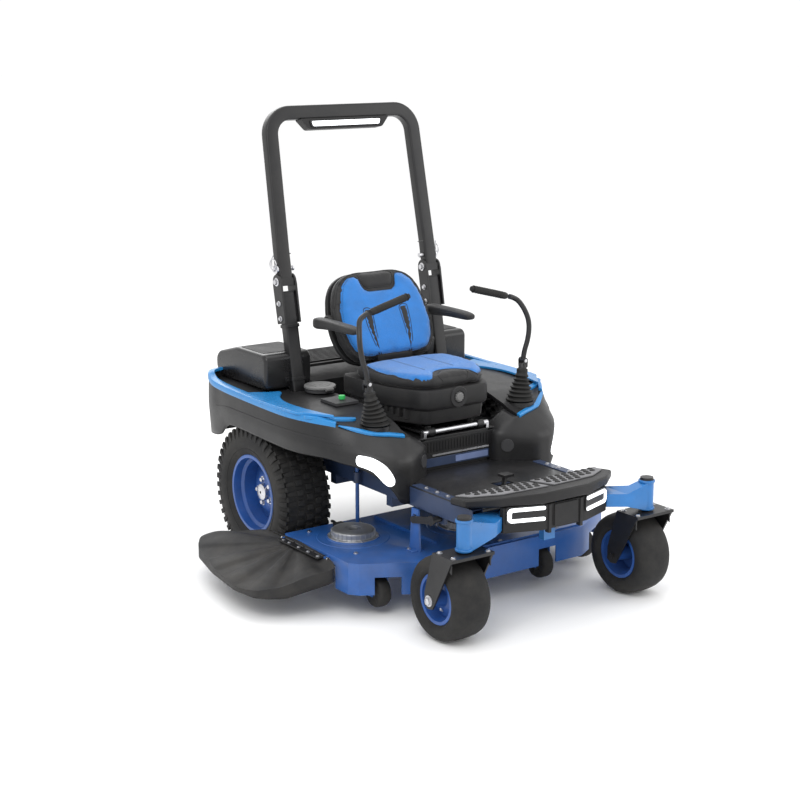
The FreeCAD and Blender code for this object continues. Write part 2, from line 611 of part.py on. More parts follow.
def caster_tyre():
    bead = CASTER_RIM_R + RIM_FLANGE
    outer = [(CASTER_RIM_HALF, CASTER_RIM_R + 0.5), (CASTER_RIM_HALF, bead), (77, 108), (CASTER_HALF, 125),
             (76, 148), (55, 162), (0, CASTER_R)]
    cavity = [(48, 151), (64, 142), (70, 125), (64, 110), (48, CASTER_RIM_R + 0.5)]
    return turned(tyre_profile(outer, cavity), (CASTER_X, CASTER_AXLE_Y, CASTER_R))


def caster_rim():
    centre = (CASTER_X, CASTER_AXLE_Y, CASTER_R)
    bore = AXLE_R + RUNNING_FIT
    dish = [(14, 85), (22, 85), (40, 30), (88, 22), (88, bore), (-88, bore), (-88, 22), (10, 30)]
    return fused([turned(rim_barrel(CASTER_RIM_HALF, CASTER_RIM_R), centre), turned(dish, centre)])


def caster_fork():
    reach = FORK_GAP + FORK_LEG
    plate = box(CASTER_X - reach, CASTER_X + reach, -1310, -1190, *FORK_PLATE_Z)
    leg = [(-1310, 357), (-1190, 357), (-1142, 195), (-1142, 145), (-1162, 132), (-1190, 136), (-1205, 160)]
    legs = [prism(leg, "x", x, x + FORK_LEG) for x in (CASTER_X - reach, CASTER_X + FORK_GAP)]
    stem_length = CASTER_TUBE_Z[1] - FORK_PLATE_Z[0] + 4
    stem = rod((CASTER_X, CASTER_PIVOT_Y, FORK_PLATE_Z[0]), (0, 0, 1), STEM_R, stem_length)
    cap = rod((CASTER_X, CASTER_PIVOT_Y, CASTER_TUBE_Z[1] + 1), (0, 0, 1), 26, 9)
    axle = rod((CASTER_X - reach - 10, CASTER_AXLE_Y, CASTER_R), (1, 0, 0), AXLE_R, 2 * reach + 20)
    return fused([plate, stem, cap, axle] + legs)


# ---- mower deck ----

def deck_shell():
    low, high = DECK_Z
    shell = prism(DECK_OUTLINE, "z", low, high)
    hollow = inset(DECK_OUTLINE, DECK_WALL).extrude(vec(0, 0, high - DECK_WALL))
    shell = shell.cut(hollow).cut(box(-680, -600, -690, -345, low - 1, 190))
    yokes = []
    for x, y in ROLLERS.values():
        shell = shell.cut(box(x - 46, x + 46, y - 160, y + 72, low - 1, 166))
        yoke = [(y - 14, 76), (y + 14, 76), (y + 30, high - 3), (y - 18, high - 3)]
        yokes += [prism(yoke, "x", x + side, x + side + 6) for side in (-38, 32)]
    hinge_lugs = []
    for y in (-650, -345):
        hinge_z = (CHUTE_HINGE[1] - 8, CHUTE_HINGE[1] + 8)
        hinge_lugs.append(box(CHUTE_HINGE[0] - 8, -649, y, y + 10, *hinge_z))
    hangers = []
    for side in (-1, 1):
        hangers.append(rod((side * GUIDE_X, GUIDE_Y, high - 2), (0, 0, 1), GUIDE_R, 250))
        outer = min(side * 342, side * 350)
        plate = prism([(-835, high - 2), (-765, high - 2), (-780, 392), (-822, 392)], "x", outer, outer + 8)
        hangers.append(plate.cut(box(outer - 1, outer + 9, -812, -790, 340, 370)))
    shell = fused([shell] + yokes + hinge_lugs + hangers)
    for x, y in SPINDLES.values():
        shell = shell.cut(rod((x, y, high - 20), (0, 0, 1), SPINDLE_R + 6, 40))
    return shell.cut(deck_pins())


def deck_pins():
    """The roller bolts and the chute's hinge rod."""
    bolts = [rod((x - 42, y, ROLLER_Z), (1, 0, 0), ROLLER_BOLT_R, 84) for x, y in ROLLERS.values()]
    hinge = rod((CHUTE_HINGE[0], -660, CHUTE_HINGE[1]), (0, 1, 0), 5, 335)
    return Part.makeCompound(bolts + [hinge])


def deck_motors():
    motors = []
    for x, y in SPINDLES.values():
        motor = rod((x, y, DECK_Z[1]), (0, 0, 1), MOTOR_R, MOTOR_HEIGHT)
        ribbed = rod((x, y, DECK_Z[1]), (0, 0, 1), MOTOR_R + 14, 10)
        bore = rod((x, y, DECK_Z[1] - 1), (0, 0, 1), SPINDLE_R + RUNNING_FIT, 24)
        motors.append(fused([motor, ribbed]).cut(bore))
    return Part.makeCompound(motors)


def blade(x, y):
    half = BLADE_WIDTH / 2
    bar_shape = box(x - BLADE_R, x + BLADE_R, y - half, y + half, *BLADE_Z)
    tips = rod((x, y, BLADE_Z[0]), (0, 0, 1), BLADE_R, BLADE_Z[1] - BLADE_Z[0])
    spindle = rod((x, y, BLADE_Z[0] - 10), (0, 0, 1), SPINDLE_R, DECK_Z[1] + 18 - BLADE_Z[0] + 10)
    nut = rod((x, y, BLADE_Z[0] - 14), (0, 0, 1), 20, 14)
    return fused([bar_shape.common(tips), spindle, nut])


def roller(x, y):
    body = rod((x - ROLLER_HALF, y, ROLLER_Z), (1, 0, 0), ROLLER_R, 2 * ROLLER_HALF)
    body = body.makeChamfer(8, body.Edges)
    return body.cut(rod((x - 40, y, ROLLER_Z), (1, 0, 0), ROLLER_BOLT_R + RUNNING_FIT, 80))


def discharge_chute():
    """A sloping plate with a turned-down lip along its free edges, and hinge knuckles on its inner edge."""
    slope = math.tan(math.radians(CHUTE_SLOPE))
    far_z = CHUTE_HINGE[1] - slope * 330
    hinge_z = CHUTE_HINGE[1]
    sheet = prism([(-664, hinge_z + 8), (-664, hinge_z + 3), (-994, far_z + 3), (-994, far_z + 8)],
                  "y", -800, 60)
    sheet = sheet.common(prism(CHUTE_OUTLINE, "z", 60, 260))
    under = prism([(-664, hinge_z + 4), (-664, 84), (-1000, 84), (-1000, far_z + 4)], "y", -800, 60)
    lip = ring(CHUTE_OUTLINE, 5, 60, 260).common(under)
    lip = lip.cut(box(-672, -600, -760, 100, 50, 260)).cut(box(-860, -600, -325, 100, 50, 260))
    for y in (-656, -351):
        sheet = sheet.cut(box(-684, -650, y, y + 22, 190, 230))
    knuckles = rod((CHUTE_HINGE[0], -632, CHUTE_HINGE[1]), (0, 1, 0), 9, 280)
    strap = box(CHUTE_HINGE[0] - 12, CHUTE_HINGE[0], -632, -352, CHUTE_HINGE[1] - 1, CHUTE_HINGE[1] + 7)
    bore = rod((CHUTE_HINGE[0], -700, CHUTE_HINGE[1]), (0, 1, 0), 5 + RUNNING_FIT, 400)
    return fused([sheet, lip, knuckles, strap]).cut(bore)


def lift_shaft():
    """The cross shaft with its foot pedal and the two arms that raise the deck."""
    y, z = LIFT_SHAFT
    angle = math.radians(LIFT_REST)
    end = (y + LIFT_ARM * math.cos(angle), z - LIFT_ARM * math.sin(angle))
    shaft = rod((-363, y, z), (1, 0, 0), 12, 726)
    across = (math.sin(angle) * 14, math.cos(angle) * 14)
    arm_outline = [(y - across[0], z - across[1]), (end[0] - across[0], end[1] - across[1]),
                   (end[0] + across[0], end[1] + across[1]), (y + across[0], z + across[1])]
    pieces = [shaft]
    for side in (-1, 1):
        low = min(side * 355, side * 363)
        pieces.append(prism(arm_outline, "x", low, low + 8))
        pieces.append(rod((low, y, z), (1, 0, 0), 20, 8))
        pieces.append(rod((low, *end), (1, 0, 0), 14, 8))
        pieces.append(rod((min(side * 340, side * 362), *end), (1, 0, 0), 7, 22))
    px, py, pz = PEDAL
    stalk = prism([(y - 8, z), (y + 8, z), (py + 8, pz), (py - 8, pz)], "x", px - 6, px + 6)
    pad = box(px - 24, px + 24, py - 26, py + 16, pz - 2, pz + 8)
    return fused(pieces + [stalk, pad])


def sided(name, shape):
    return {name + "_left": shape, name + "_right": mirrored(shape)}


def all_parts():
    single = (main_frame, front_axle, floor_pan, foot_platform, tread_pads, front_bumper, front_lights,
              pod_panels, pod_tops, pod_trims, rear_boxes, rear_grille, battery_housing, battery_packs,
              drive_motors, seat_console, pivot_pins, hitch_bracket, control_fittings, pto_knob,
              charge_cover, rops_posts, rops_hoop, rops_lock_pins, light_bar, light_bar_lens, seat_plate,
              seat_housing, weight_knob, seat_cushion, back_cushion, back_shell, deck_shell, deck_pins,
              deck_motors, discharge_chute, lift_shaft)
    paired = (armrest, lever_boot, control_lever, rear_tyre, rear_rim, caster_tyre, caster_rim, caster_fork)
    parts = {make.__name__: make() for make in single}
    for make in paired:
        parts.update(sided(make.__name__, make()))
    for name, place in SPINDLES.items():
        parts["blade_" + name] = blade(*place)
    for name, place in ROLLERS.items():
        parts["roller_" + name] = roller(*place)
    return parts


os.makedirs("parts", exist_ok=True)
for node, solid in all_parts().items():
    solid.translate(vec(*ORIGIN_SHIFT))
    solid.exportStep("parts/" + node + ".step")
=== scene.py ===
import json
import math

import bmesh
import bpy
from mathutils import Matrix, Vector
from mathutils.bvhtree import BVHTree
from mathutils.geometry import delaunay_2d_cdt


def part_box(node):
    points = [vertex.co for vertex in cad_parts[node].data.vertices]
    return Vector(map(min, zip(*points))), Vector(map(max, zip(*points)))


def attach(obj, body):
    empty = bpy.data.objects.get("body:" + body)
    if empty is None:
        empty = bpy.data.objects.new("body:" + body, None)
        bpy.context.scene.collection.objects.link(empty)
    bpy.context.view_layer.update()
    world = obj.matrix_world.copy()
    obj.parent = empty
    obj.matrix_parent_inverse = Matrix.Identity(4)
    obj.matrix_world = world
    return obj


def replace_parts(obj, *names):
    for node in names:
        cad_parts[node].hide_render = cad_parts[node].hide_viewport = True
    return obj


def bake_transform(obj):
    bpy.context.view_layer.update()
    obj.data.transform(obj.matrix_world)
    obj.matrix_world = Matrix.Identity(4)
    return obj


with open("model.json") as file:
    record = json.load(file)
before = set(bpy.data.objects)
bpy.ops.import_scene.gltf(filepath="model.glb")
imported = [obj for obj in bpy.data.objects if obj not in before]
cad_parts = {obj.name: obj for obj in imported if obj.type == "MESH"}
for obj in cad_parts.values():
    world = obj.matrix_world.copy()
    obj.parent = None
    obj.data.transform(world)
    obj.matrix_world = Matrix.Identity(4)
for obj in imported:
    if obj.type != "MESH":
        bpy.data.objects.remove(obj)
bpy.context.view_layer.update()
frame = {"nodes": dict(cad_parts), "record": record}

MM = 0.001


def centre_of(node):
    low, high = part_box(node)
    return (Vector(low) + Vector(high)) / 2


# The machine frame: x = 0 is the chassis centre plane, y = 0 the rear axle, z = 0 the ground.
LEFT_WHEEL, RIGHT_WHEEL = centre_of("rear_tyre_left"), centre_of("rear_tyre_right")
ORIGIN = Vector(((LEFT_WHEEL.x + RIGHT_WHEEL.x) / 2, LEFT_WHEEL.y, 0))


# ---------------------------------------------------------------- materials

def node(tree, kind, **inputs):
    made = tree.nodes.new(kind)
    for key, value in inputs.items():
        made.inputs[key.replace("_", " ")].default_value = value
    return made


def ramp(tree, source, low, high, low_pos=0.35, high_pos=0.65):
    made = tree.nodes.new("ShaderNodeValToRGB")
    made.color_ramp.elements[0].position, made.color_ramp.elements[1].position = low_pos, high_pos
    made.color_ramp.elements[0].color, made.color_ramp.elements[1].color = low, high
    tree.links.new(source, made.inputs["Fac"])
    return made


def shade(colour, factor):
    return tuple(min(1.0, c * factor) for c in colour[:3]) + (1.0,)


def material(name, colour, rough, metallic=0.0, coat=0.0, tint_scale=9.0, tint=0.12, rough_spread=0.08,
             grain="noise", grain_scale=900.0, grain_depth=0.0002, dust=0.0, wear=0.0, sheen=0.0,
             stretch=(1, 1, 1)):
    """A surface with colour drift, uneven gloss and a fine grain, and where asked, dust and worn edges."""
    made = bpy.data.materials.new(name)
    made.use_nodes = True
    tree = made.node_tree
    shader = tree.nodes["Principled BSDF"]
    shader.inputs["Metallic"].default_value = metallic
    shader.inputs["Coat Weight"].default_value = coat
    shader.inputs["Coat Roughness"].default_value = 0.18
    shader.inputs["Sheen Weight"].default_value = sheen
    shader.inputs["Specular IOR Level"].default_value = 0.5 if metallic else 0.34
    shader.inputs["Sheen Roughness"].default_value = 0.5
    where = tree.nodes.new("ShaderNodeTexCoord").outputs["Object"]
    drift = node(tree, "ShaderNodeTexNoise", Scale=tint_scale, Detail=6.0, Roughness=0.6)
    tree.links.new(where, drift.inputs["Vector"])
    surface = ramp(tree, drift.outputs["Fac"], shade(colour, 1 - tint),
                   shade(colour, 1 + tint)).outputs["Color"]
    if dust:
        spread = node(tree, "ShaderNodeTexNoise", Scale=3.3, Detail=8.0, Roughness=0.7)
        tree.links.new(where, spread.inputs["Vector"])
        amount = ramp(tree, spread.outputs["Fac"], (0, 0, 0, 1), (dust, dust, dust, 1), 0.42, 0.72)
        mix = tree.nodes.new("ShaderNodeMixRGB")
        mix.inputs["Color2"].default_value = (0.20, 0.18, 0.15, 1)
        tree.links.new(amount.outputs["Color"], mix.inputs["Fac"])
        tree.links.new(surface, mix.inputs["Color1"])
        surface = mix.outputs["Color"]
    if wear:
        edge = ramp(tree, tree.nodes.new("ShaderNodeNewGeometry").outputs["Pointiness"],
                    (0, 0, 0, 1), (wear, wear, wear, 1), 0.52, 0.60)
        mix = tree.nodes.new("ShaderNodeMixRGB")
        mix.inputs["Color2"].default_value = shade(colour, 1.9)
        tree.links.new(edge.outputs["Color"], mix.inputs["Fac"])
        tree.links.new(surface, mix.inputs["Color1"])
        surface = mix.outputs["Color"]
    tree.links.new(surface, shader.inputs["Base Color"])
    gloss = node(tree, "ShaderNodeMapRange", From_Min=0.3, From_Max=0.7, To_Min=rough - rough_spread,
                 To_Max=rough + rough_spread)
    tree.links.new(drift.outputs["Fac"], gloss.inputs["Value"])
    tree.links.new(gloss.outputs["Result"], shader.inputs["Roughness"])
    mapping = tree.nodes.new("ShaderNodeMapping")
    mapping.inputs["Scale"].default_value = stretch
    tree.links.new(where, mapping.inputs["Vector"])
    if grain == "cells":
        fine = node(tree, "ShaderNodeTexVoronoi", Scale=grain_scale)
        height = fine.outputs["Distance"]
    elif grain == "weave":
        fine = node(tree, "ShaderNodeTexWave", Scale=grain_scale, Distortion=0.4)
        cross = node(tree, "ShaderNodeTexWave", Scale=grain_scale, Distortion=0.4)
        cross.bands_direction = "Y"
        tree.links.new(mapping.outputs["Vector"], cross.inputs["Vector"])
        both = tree.nodes.new("ShaderNodeMath")
        both.operation = "MULTIPLY"
        tree.links.new(fine.outputs["Fac"], both.inputs[0])
        tree.links.new(cross.outputs["Fac"], both.inputs[1])
        height = both.outputs["Value"]
    else:
        fine = node(tree, "ShaderNodeTexNoise", Scale=grain_scale, Detail=3.0)
        height = fine.outputs["Fac"]
    tree.links.new(mapping.outputs["Vector"], fine.inputs["Vector"])
    bump = node(tree, "ShaderNodeBump", Strength=0.6, Distance=grain_depth)
    tree.links.new(height, bump.inputs["Height"])
    tree.links.new(bump.outputs["Normal"], shader.inputs["Normal"])
    return made


def glowing(name, colour, strength):
    """A lamp diffuser: a white skin with a faint prism grain that glows a little."""
    made = material(name, colour, 0.25, coat=0.6, tint=0.03, grain="cells", grain_scale=260,
                    grain_depth=0.0003)
    shader = made.node_tree.nodes["Principled BSDF"]
    shader.inputs["Emission Color"].default_value = colour + (1.0,)
    shader.inputs["Emission Strength"].default_value = strength
    return made


PALETTE = {
    "blue_paint": dict(colour=(0.016, 0.15, 0.42), rough=0.34, coat=0.35, tint=0.10, grain_scale=420,
                           grain_depth=0.00025, dust=0.10, wear=0.25),
    # deck_paint: the blue paint darkened into painted shade for the shade under the frame; its dust and worn
    # edges are real
    "deck_paint": dict(colour=(0.016, 0.085, 0.30), rough=0.40, coat=0.25, tint=0.14, grain_scale=420,
                           grain_depth=0.0003, dust=0.22, wear=0.3),
    "rim_paint": dict(colour=(0.018, 0.075, 0.28), rough=0.38, coat=0.25, tint=0.12, grain_scale=500,
                      dust=0.15, wear=0.2),
    "sky_trim": dict(colour=(0.016, 0.20, 0.50), rough=0.30, coat=0.3, tint=0.06, grain_scale=1200,
                     grain_depth=0.0001),
    "pod_plastic": dict(colour=(0.011, 0.011, 0.012), rough=0.42, coat=0.08, tint=0.12, grain="cells",
                            grain_scale=1100, grain_depth=0.00018, dust=0.04, wear=0.2),
    "plain_plastic": dict(colour=(0.009, 0.009, 0.010), rough=0.52, tint=0.15, grain="cells", grain_scale=900,
                              grain_depth=0.00025, dust=0.06, wear=0.2),
    "black_steel": dict(colour=(0.009, 0.009, 0.010), rough=0.40, coat=0.15, tint=0.12, grain_scale=700,
                            grain_depth=0.0003, dust=0.05, wear=0.35),
    "chute_plastic": dict(colour=(0.010, 0.010, 0.011), rough=0.58, tint=0.2, grain_scale=500,
                          grain_depth=0.0005,
                              dust=0.16, wear=0.4),
    "rubber": dict(colour=(0.010, 0.010, 0.0105), rough=0.72, tint=0.22, tint_scale=22, grain_scale=650,
                       grain_depth=0.0005, dust=0.13, wear=0.25),
    "boot_rubber": dict(colour=(0.008, 0.008, 0.008), rough=0.62, tint=0.15, grain_scale=900, dust=0.05),
    "tread": dict(colour=(0.19, 0.19, 0.20), rough=0.7, tint=0.15, grain="cells", grain_scale=500,
                  grain_depth=0.0006, dust=0.1),
    "blue_cloth": dict(colour=(0.016, 0.165, 0.50), rough=0.82, tint=0.10, tint_scale=14, grain="weave",
                           grain_scale=190, grain_depth=0.0009, sheen=0.35),
    "black_vinyl": dict(colour=(0.010, 0.010, 0.011), rough=0.55, tint=0.15, grain="cells", grain_scale=420,
                            grain_depth=0.0006, dust=0.03, wear=0.15, sheen=0.1),
    "zinc": dict(colour=(0.60, 0.60, 0.62), rough=0.30, metallic=1.0, tint=0.1, rough_spread=0.1,
                 grain_scale=300,
                     grain_depth=0.0001, stretch=(1, 8, 1)),
    "cast": dict(colour=(0.42, 0.43, 0.45), rough=0.42, metallic=0.9, tint=0.15, grain_scale=500,
                 grain_depth=0.0004, dust=0.15),
    "grey_plastic": dict(colour=(0.045, 0.045, 0.048), rough=0.5, tint=0.1, grain="cells", grain_scale=900),
    "green_plastic": dict(colour=(0.03, 0.45, 0.10), rough=0.35, coat=0.3, tint=0.1),
    "battery": dict(colour=(0.014, 0.014, 0.016), rough=0.5, tint=0.12, grain="cells", grain_scale=600),
    "gloss_plastic": dict(colour=(0.010, 0.010, 0.011), rough=0.30, coat=0.25, tint=0.12, grain="cells",
                              grain_scale=1200, grain_depth=0.0001, dust=0.03, wear=0.15),
    "frame_blue": dict(colour=(0.022, 0.038, 0.085), rough=0.42, coat=0.1, tint=0.14, grain_scale=500,
                       dust=0.12, wear=0.3),
    "pale_blue": dict(colour=(0.16, 0.21, 0.38), rough=0.45, tint=0.1, grain_scale=700),
    "lid_grey": dict(colour=(0.16, 0.16, 0.16), rough=0.45, tint=0.1, grain="cells", grain_scale=900,
                     dust=0.1),
}
LOOKS = {name: material(name, **values) for name, values in PALETTE.items()}
LOOKS["lamp"] = glowing("lamp", (0.95, 0.97, 1.0), 1.6)


# ---------------------------------------------------------------- shape helpers (millimetres, machine frame)

def merged(shapes):
    """Several (points, faces) shapes as one."""
    points, faces = [], []
    for more_points, more_faces in shapes:
        start = len(points)
        points += more_points
        faces += [[i + start for i in f] for f in more_faces]
    return points, faces


def flipped(shape):
    """The mirror image across the centre plane."""
    points, faces = shape
    return [(-x, y, z) for x, y, z in points], [list(reversed(f)) for f in faces]


SIDES = (("left", lambda shape: shape), ("right", flipped))


def both(shape):
    return merged([shape, flipped(shape)])


def around(count, shift=0):
    """Evenly spaced angles of a full turn."""
    return [2 * math.pi * (k + shift) / count for k in range(count)]


def rectangle(a0, a1, b0, b1):
    return [(a0, b0), (a1, b0), (a1, b1), (a0, b1)]


def in_frame(point):
    """A point of the machine frame, in millimetres, as one of the row's frame, in metres."""
    return Vector(point) * MM + ORIGIN


def grid_faces(rows, columns, wrap_rows=False, wrap_columns=True):
    faces = []
    for r in range(rows if wrap_rows else rows - 1):
        for c in range(columns if wrap_columns else columns - 1):
            a, b = r * columns + c, r * columns + (c + 1) % columns
            d, e = ((r + 1) % rows) * columns + c, ((r + 1) % rows) * columns + (c + 1) % columns
            faces.append([a, b, e, d])
    return faces


def lathe(profile, centre, axis="x", steps=64, closed=True):
    """A turned shape; the profile holds (offset along the axis, radius) points."""
    points = []
    for offset, radius in profile:
        for a in around(steps):
            u, v = radius * math.cos(a), radius * math.sin(a)
            local = {"x": (offset, u, v), "y": (v, offset, u), "z": (u, v, offset)}[axis]
            points.append(tuple(p + q for p, q in zip(centre, local)))
    faces = grid_faces(len(profile), steps, wrap_rows=closed)
    if not closed:
        faces.append(list(reversed(range(steps))))
        faces.append([(len(profile) - 1) * steps + i for i in range(steps)])
    return points, faces


def loft(rings, capped=True):
    """A skin through rings of equally many points."""
    count = len(rings[0])
    points = [tuple(p) for r in rings for p in r]
    faces = grid_faces(len(rings), count)
    if capped:
        faces.append(list(reversed(range(count))))
        faces.append([(len(rings) - 1) * count + i for i in range(count)])
    return points, faces


def block(x0, x1, y0, y1, z0, z1):
    return loft([[(x0, y0, z), (x1, y0, z), (x1, y1, z), (x0, y1, z)] for z in (z0, z1)])


def slab(outline, axis, low, high):
    """A flat outline with thickness: (y, z) along x, (x, z) along y, (x, y) along z."""
    def place(a, b, c):
        return {"x": (c, a, b), "y": (a, c, b), "z": (a, b, c)}[axis]
    return loft([[place(a, b, c) for a, b in outline] for c in (low, high)])


def smooth_path(points, steps=6):
    """A curve through given points."""
    points = [Vector(p) for p in points]
    padded = [points[0] * 2 - points[1]] + points + [points[-1] * 2 - points[-2]]
    path = []
    for a, b, c, d in zip(padded, padded[1:], padded[2:], padded[3:]):
        for step in range(steps):
            t = step / steps
            path.append(0.5 * ((2 * b) + (c - a) * t + (2 * a - 5 * b + 4 * c - d) * t * t
                               + (3 * b - a - 3 * c + d) * t ** 3))
    return path + [points[-1]]


def tube(path, radius, sides=16, taper=None):
    """A round bar along a path, with closed ends."""
    path = [Vector(p) for p in path]
    rings, side = [], None
    for i, p in enumerate(path):
        ahead = (path[min(i + 1, len(path) - 1)] - path[max(i - 1, 0)]).normalized()
        if side is None:
            side = ahead.orthogonal().normalized()
        side = (side - ahead * side.dot(ahead)).normalized()
        up = ahead.cross(side)
        r = radius if taper is None else radius * taper[min(i, len(taper) - 1)]
        rings.append([tuple(p + side * r * math.cos(a) + up * r * math.sin(a)) for a in around(sides)])
    return loft(rings)


def bolt(centre, axis, radius, height):
    """A hexagon head on its washer."""
    washer = lathe([(0, 0.3 * radius), (0, 1.45 * radius), (0.2 * height, 1.45 * radius),
                    (0.2 * height, 0.3 * radius)],
                   centre, axis, 20)
    head = lathe([(0.2 * height, radius), (0.9 * height, radius), (height, 0.8 * radius)], centre, axis, 6,
                 closed=False)
    return merged([washer, head])


def piece(name, shape, look, body, slot, replaces=(), bevel=0.0, segments=2, smooth=38, levels=0, solid=0.0):
    """One visible piece in the row's frame, riding on its body."""
    points, faces = shape
    mesh = bpy.data.meshes.new(name)
    mesh.from_pydata([tuple(in_frame(p)) for p in points], [], faces)
    return finished(name, mesh, look, body, replaces, bevel, segments, smooth, levels, solid)


def finished(name, mesh, look, body, replaces=(), bevel=0.0, segments=2, smooth=38, levels=0,
             solid=0.0):
    cleaner = bmesh.new()
    cleaner.from_mesh(mesh)
    bmesh.ops.remove_doubles(cleaner, verts=cleaner.verts, dist=0.00001)
    bmesh.ops.recalc_face_normals(cleaner, faces=cleaner.faces)
    cleaner.to_mesh(mesh)
    cleaner.free()
    mesh.polygons.foreach_set("use_smooth", [True] * len(mesh.polygons))
    mesh.set_sharp_from_angle(angle=math.radians(smooth))
    made = bpy.data.objects.new(name, mesh)
    bpy.context.scene.collection.objects.link(made)
    for one in look if isinstance(look, (list, tuple)) else [look]:
        mesh.materials.append(LOOKS[one])
    if solid:
        shell = made.modifiers.new("wall", "SOLIDIFY")
        shell.thickness, shell.offset = solid, -1
    if levels:
        smoother = made.modifiers.new("smooth", "SUBSURF")
        smoother.levels = smoother.render_levels = levels
    if bevel:
        rounder = made.modifiers.new("edges", "BEVEL")
        rounder.width, rounder.segments, rounder.limit_method = bevel, segments, "ANGLE"
        rounder.angle_limit = math.radians(35)
        rounder.harden_normals = True
    if body:
        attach(made, body)
    if replaces:
        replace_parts(made, *replaces)
    return made


def bright(name, shape, body, replaces=(), **finish):
    return piece(name, shape, "zinc", body, "bright_steel", replaces, **finish)


def black(name, shape, body, replaces=(), **finish):
    return piece(name, shape, "black_steel", body, "steel_black", replaces, **finish)


BODY_OF = {n: body for body, nodes in frame["record"]["behaviour"]["bodies"].items() for n in nodes}


def refined(cad_node, look, bevel, segments=3):
    """The CAD node's own shape with its edges rounded."""
    source = frame["nodes"][cad_node].data.copy()
    source.materials.clear()
    flat = bmesh.new()
    flat.from_mesh(source)
    bmesh.ops.remove_doubles(flat, verts=flat.verts, dist=0.00002)
    bmesh.ops.dissolve_limit(flat, angle_limit=math.radians(1.0), verts=flat.verts, edges=flat.edges)
    flat.to_mesh(source)
    flat.free()
    return finished(cad_node + "_shape", source, look, BODY_OF[cad_node], (cad_node,),
                    bevel, segments)


# ---------------------------------------------------------------- side pods

# Stations of the pod's outer skin from the rear inner corner round to the nose: the plan point and
# height of its top edge, its widest line and its lower edge.
POD_STATIONS = [
    ((292, 399, 762), (292, 402, 640), (292, 397, 495)), ((440, 400, 763), (440, 404, 640), (440, 398, 492)),
    ((560, 399, 763), (562, 403, 640), (556, 396, 492)), ((606, 370, 757), (609, 372, 640), (602, 366, 500)),
    ((622, 310, 738), (627, 310, 640), (620, 306, 503)), ((627, 240, 732), (632, 240, 640), (626, 236, 518)),
    ((630, 190, 730), (635, 190, 638), (629, 186, 560)), ((632, 120, 728), (638, 120, 634), (634, 120, 580)),
    ((633, -50, 724), (641, -50, 628), (637, -50, 578)),
    ((630, -200, 720), (641, -200, 622), (636, -200, 573)),
    ((624, -300, 718), (637, -305, 618), (631, -308, 569)),
    ((606, -380, 716), (622, -388, 614), (617, -392, 567)),
    ((580, -447, 711), (600, -458, 610), (598, -462, 567)),
    ((545, -498, 702), (573, -518, 607), (574, -525, 567)),
    ((505, -542, 690), (543, -572, 604), (546, -582, 556)),
    ((468, -577, 679), (508, -628, 600), (512, -634, 546)),
    ((430, -608, 667), (468, -682, 592), (470, -688, 520)),
    ((397, -621, 661), (427, -721, 580), (426, -725, 478)),
    ((374, -628, 658), (398, -737, 574), (397, -739, 440)),
    ((350, -634, 655), (370, -742, 571), (370, -742, 404)),
    ((320, -642, 650), (318, -737, 571), (318, -737, 392)),
    ((288, -650, 646), (250, -698, 577), (250, -698, 392)),
    ((276, -640, 648), (178, -645, 590), (178, -645, 392)),
    ((274, -575, 664), (170, -560, 592), (170, -560, 392))]
SKIN_ROWS = 14
PANEL_WALL = 0.007
KNEE = 0.5


def spline(values, t):
    """A smooth curve through evenly spaced values."""
    i = min(int(t), len(values) - 2)
    f = t - i
    a, b, c, d = (Vector(values[max(0, min(len(values) - 1, i + k))]) for k in (-1, 0, 1, 2))
    return 0.5 * (2 * b + (c - a) * f + (2 * a - 5 * b + 4 * c - d) * f * f
                  + (3 * b - a - 3 * c + d) * f ** 3)


def pod_skin(u, v):
    """A point of the pod's skin: u counts the stations, v runs from the top edge (0) to the lower (1)."""
    top, wide, low = (spline([s[k] for s in POD_STATIONS], u) for k in range(3))
    straight = top.lerp(wide, v / KNEE) if v < KNEE else wide.lerp(low, (v - KNEE) / (1 - KNEE))
    near = max(0.0, 1 - abs(v - KNEE) / 0.18)
    return straight.lerp((top.lerp(wide, 0.82) + wide.lerp(low, 0.18)) / 2, 0.45 * near * near)


def skin_normal(u, v):
    step = 0.04
    along = pod_skin(min(u + step, len(POD_STATIONS) - 1), v) - pod_skin(max(u - step, 0), v)
    down = pod_skin(u, min(v + step, 1)) - pod_skin(u, max(v - step, 0))
    return down.cross(along).normalized()


def pod_panel():
    columns = (len(POD_STATIONS) - 1) * 4
    rows = [[tuple(pod_skin(c / 4, r / (SKIN_ROWS - 1))) for r in range(SKIN_ROWS)]
            for c in range(columns + 1)]
    return [p for row in rows for p in row], grid_faces(columns + 1, SKIN_ROWS, wrap_columns=False)


def ribbon(route, width, thick, steps=5):
    """A raised strip with rounded ends on the skin; the route holds (u, v, share of the width)."""
    count = (len(route) - 1) * steps
    rings = []
    for i in range(count + 1):
        u, v, share = spline(route, i / steps)
        place, normal = pod_skin(u, v), skin_normal(u, v)
        ahead_u, ahead_v, _ = spline(route, min(i + 1, count) / steps)
        back_u, back_v, _ = spline(route, max(i - 1, 0) / steps)
        ahead = (pod_skin(ahead_u, ahead_v) - pod_skin(back_u, back_v)).normalized()
        across = normal.cross(ahead).normalized()
        half = width * share / 2
        section = [(-1.0, -2), (-1.0, thick * 0.5), (-0.86, thick), (0, thick * 1.06), (0.86, thick),
                   (1.0, thick * 0.5), (1.0, -2)]
        rings.append([tuple(place + across * half * a + normal * b) for a, b in section])
    return loft(rings)


LAMP_TOP = [(15.0, 0.56), (15.5, 0.54), (16.0, 0.54), (16.5, 0.58), (16.9, 0.62), (17.5, 0.70), (18.1, 0.80)]
LAMP_FOOT = [(15.0, 0.92), (15.5, 0.90), (16.0, 0.90), (16.4, 0.96), (16.7, 1.0), (16.9, 1.0), (17.2, 0.98)]


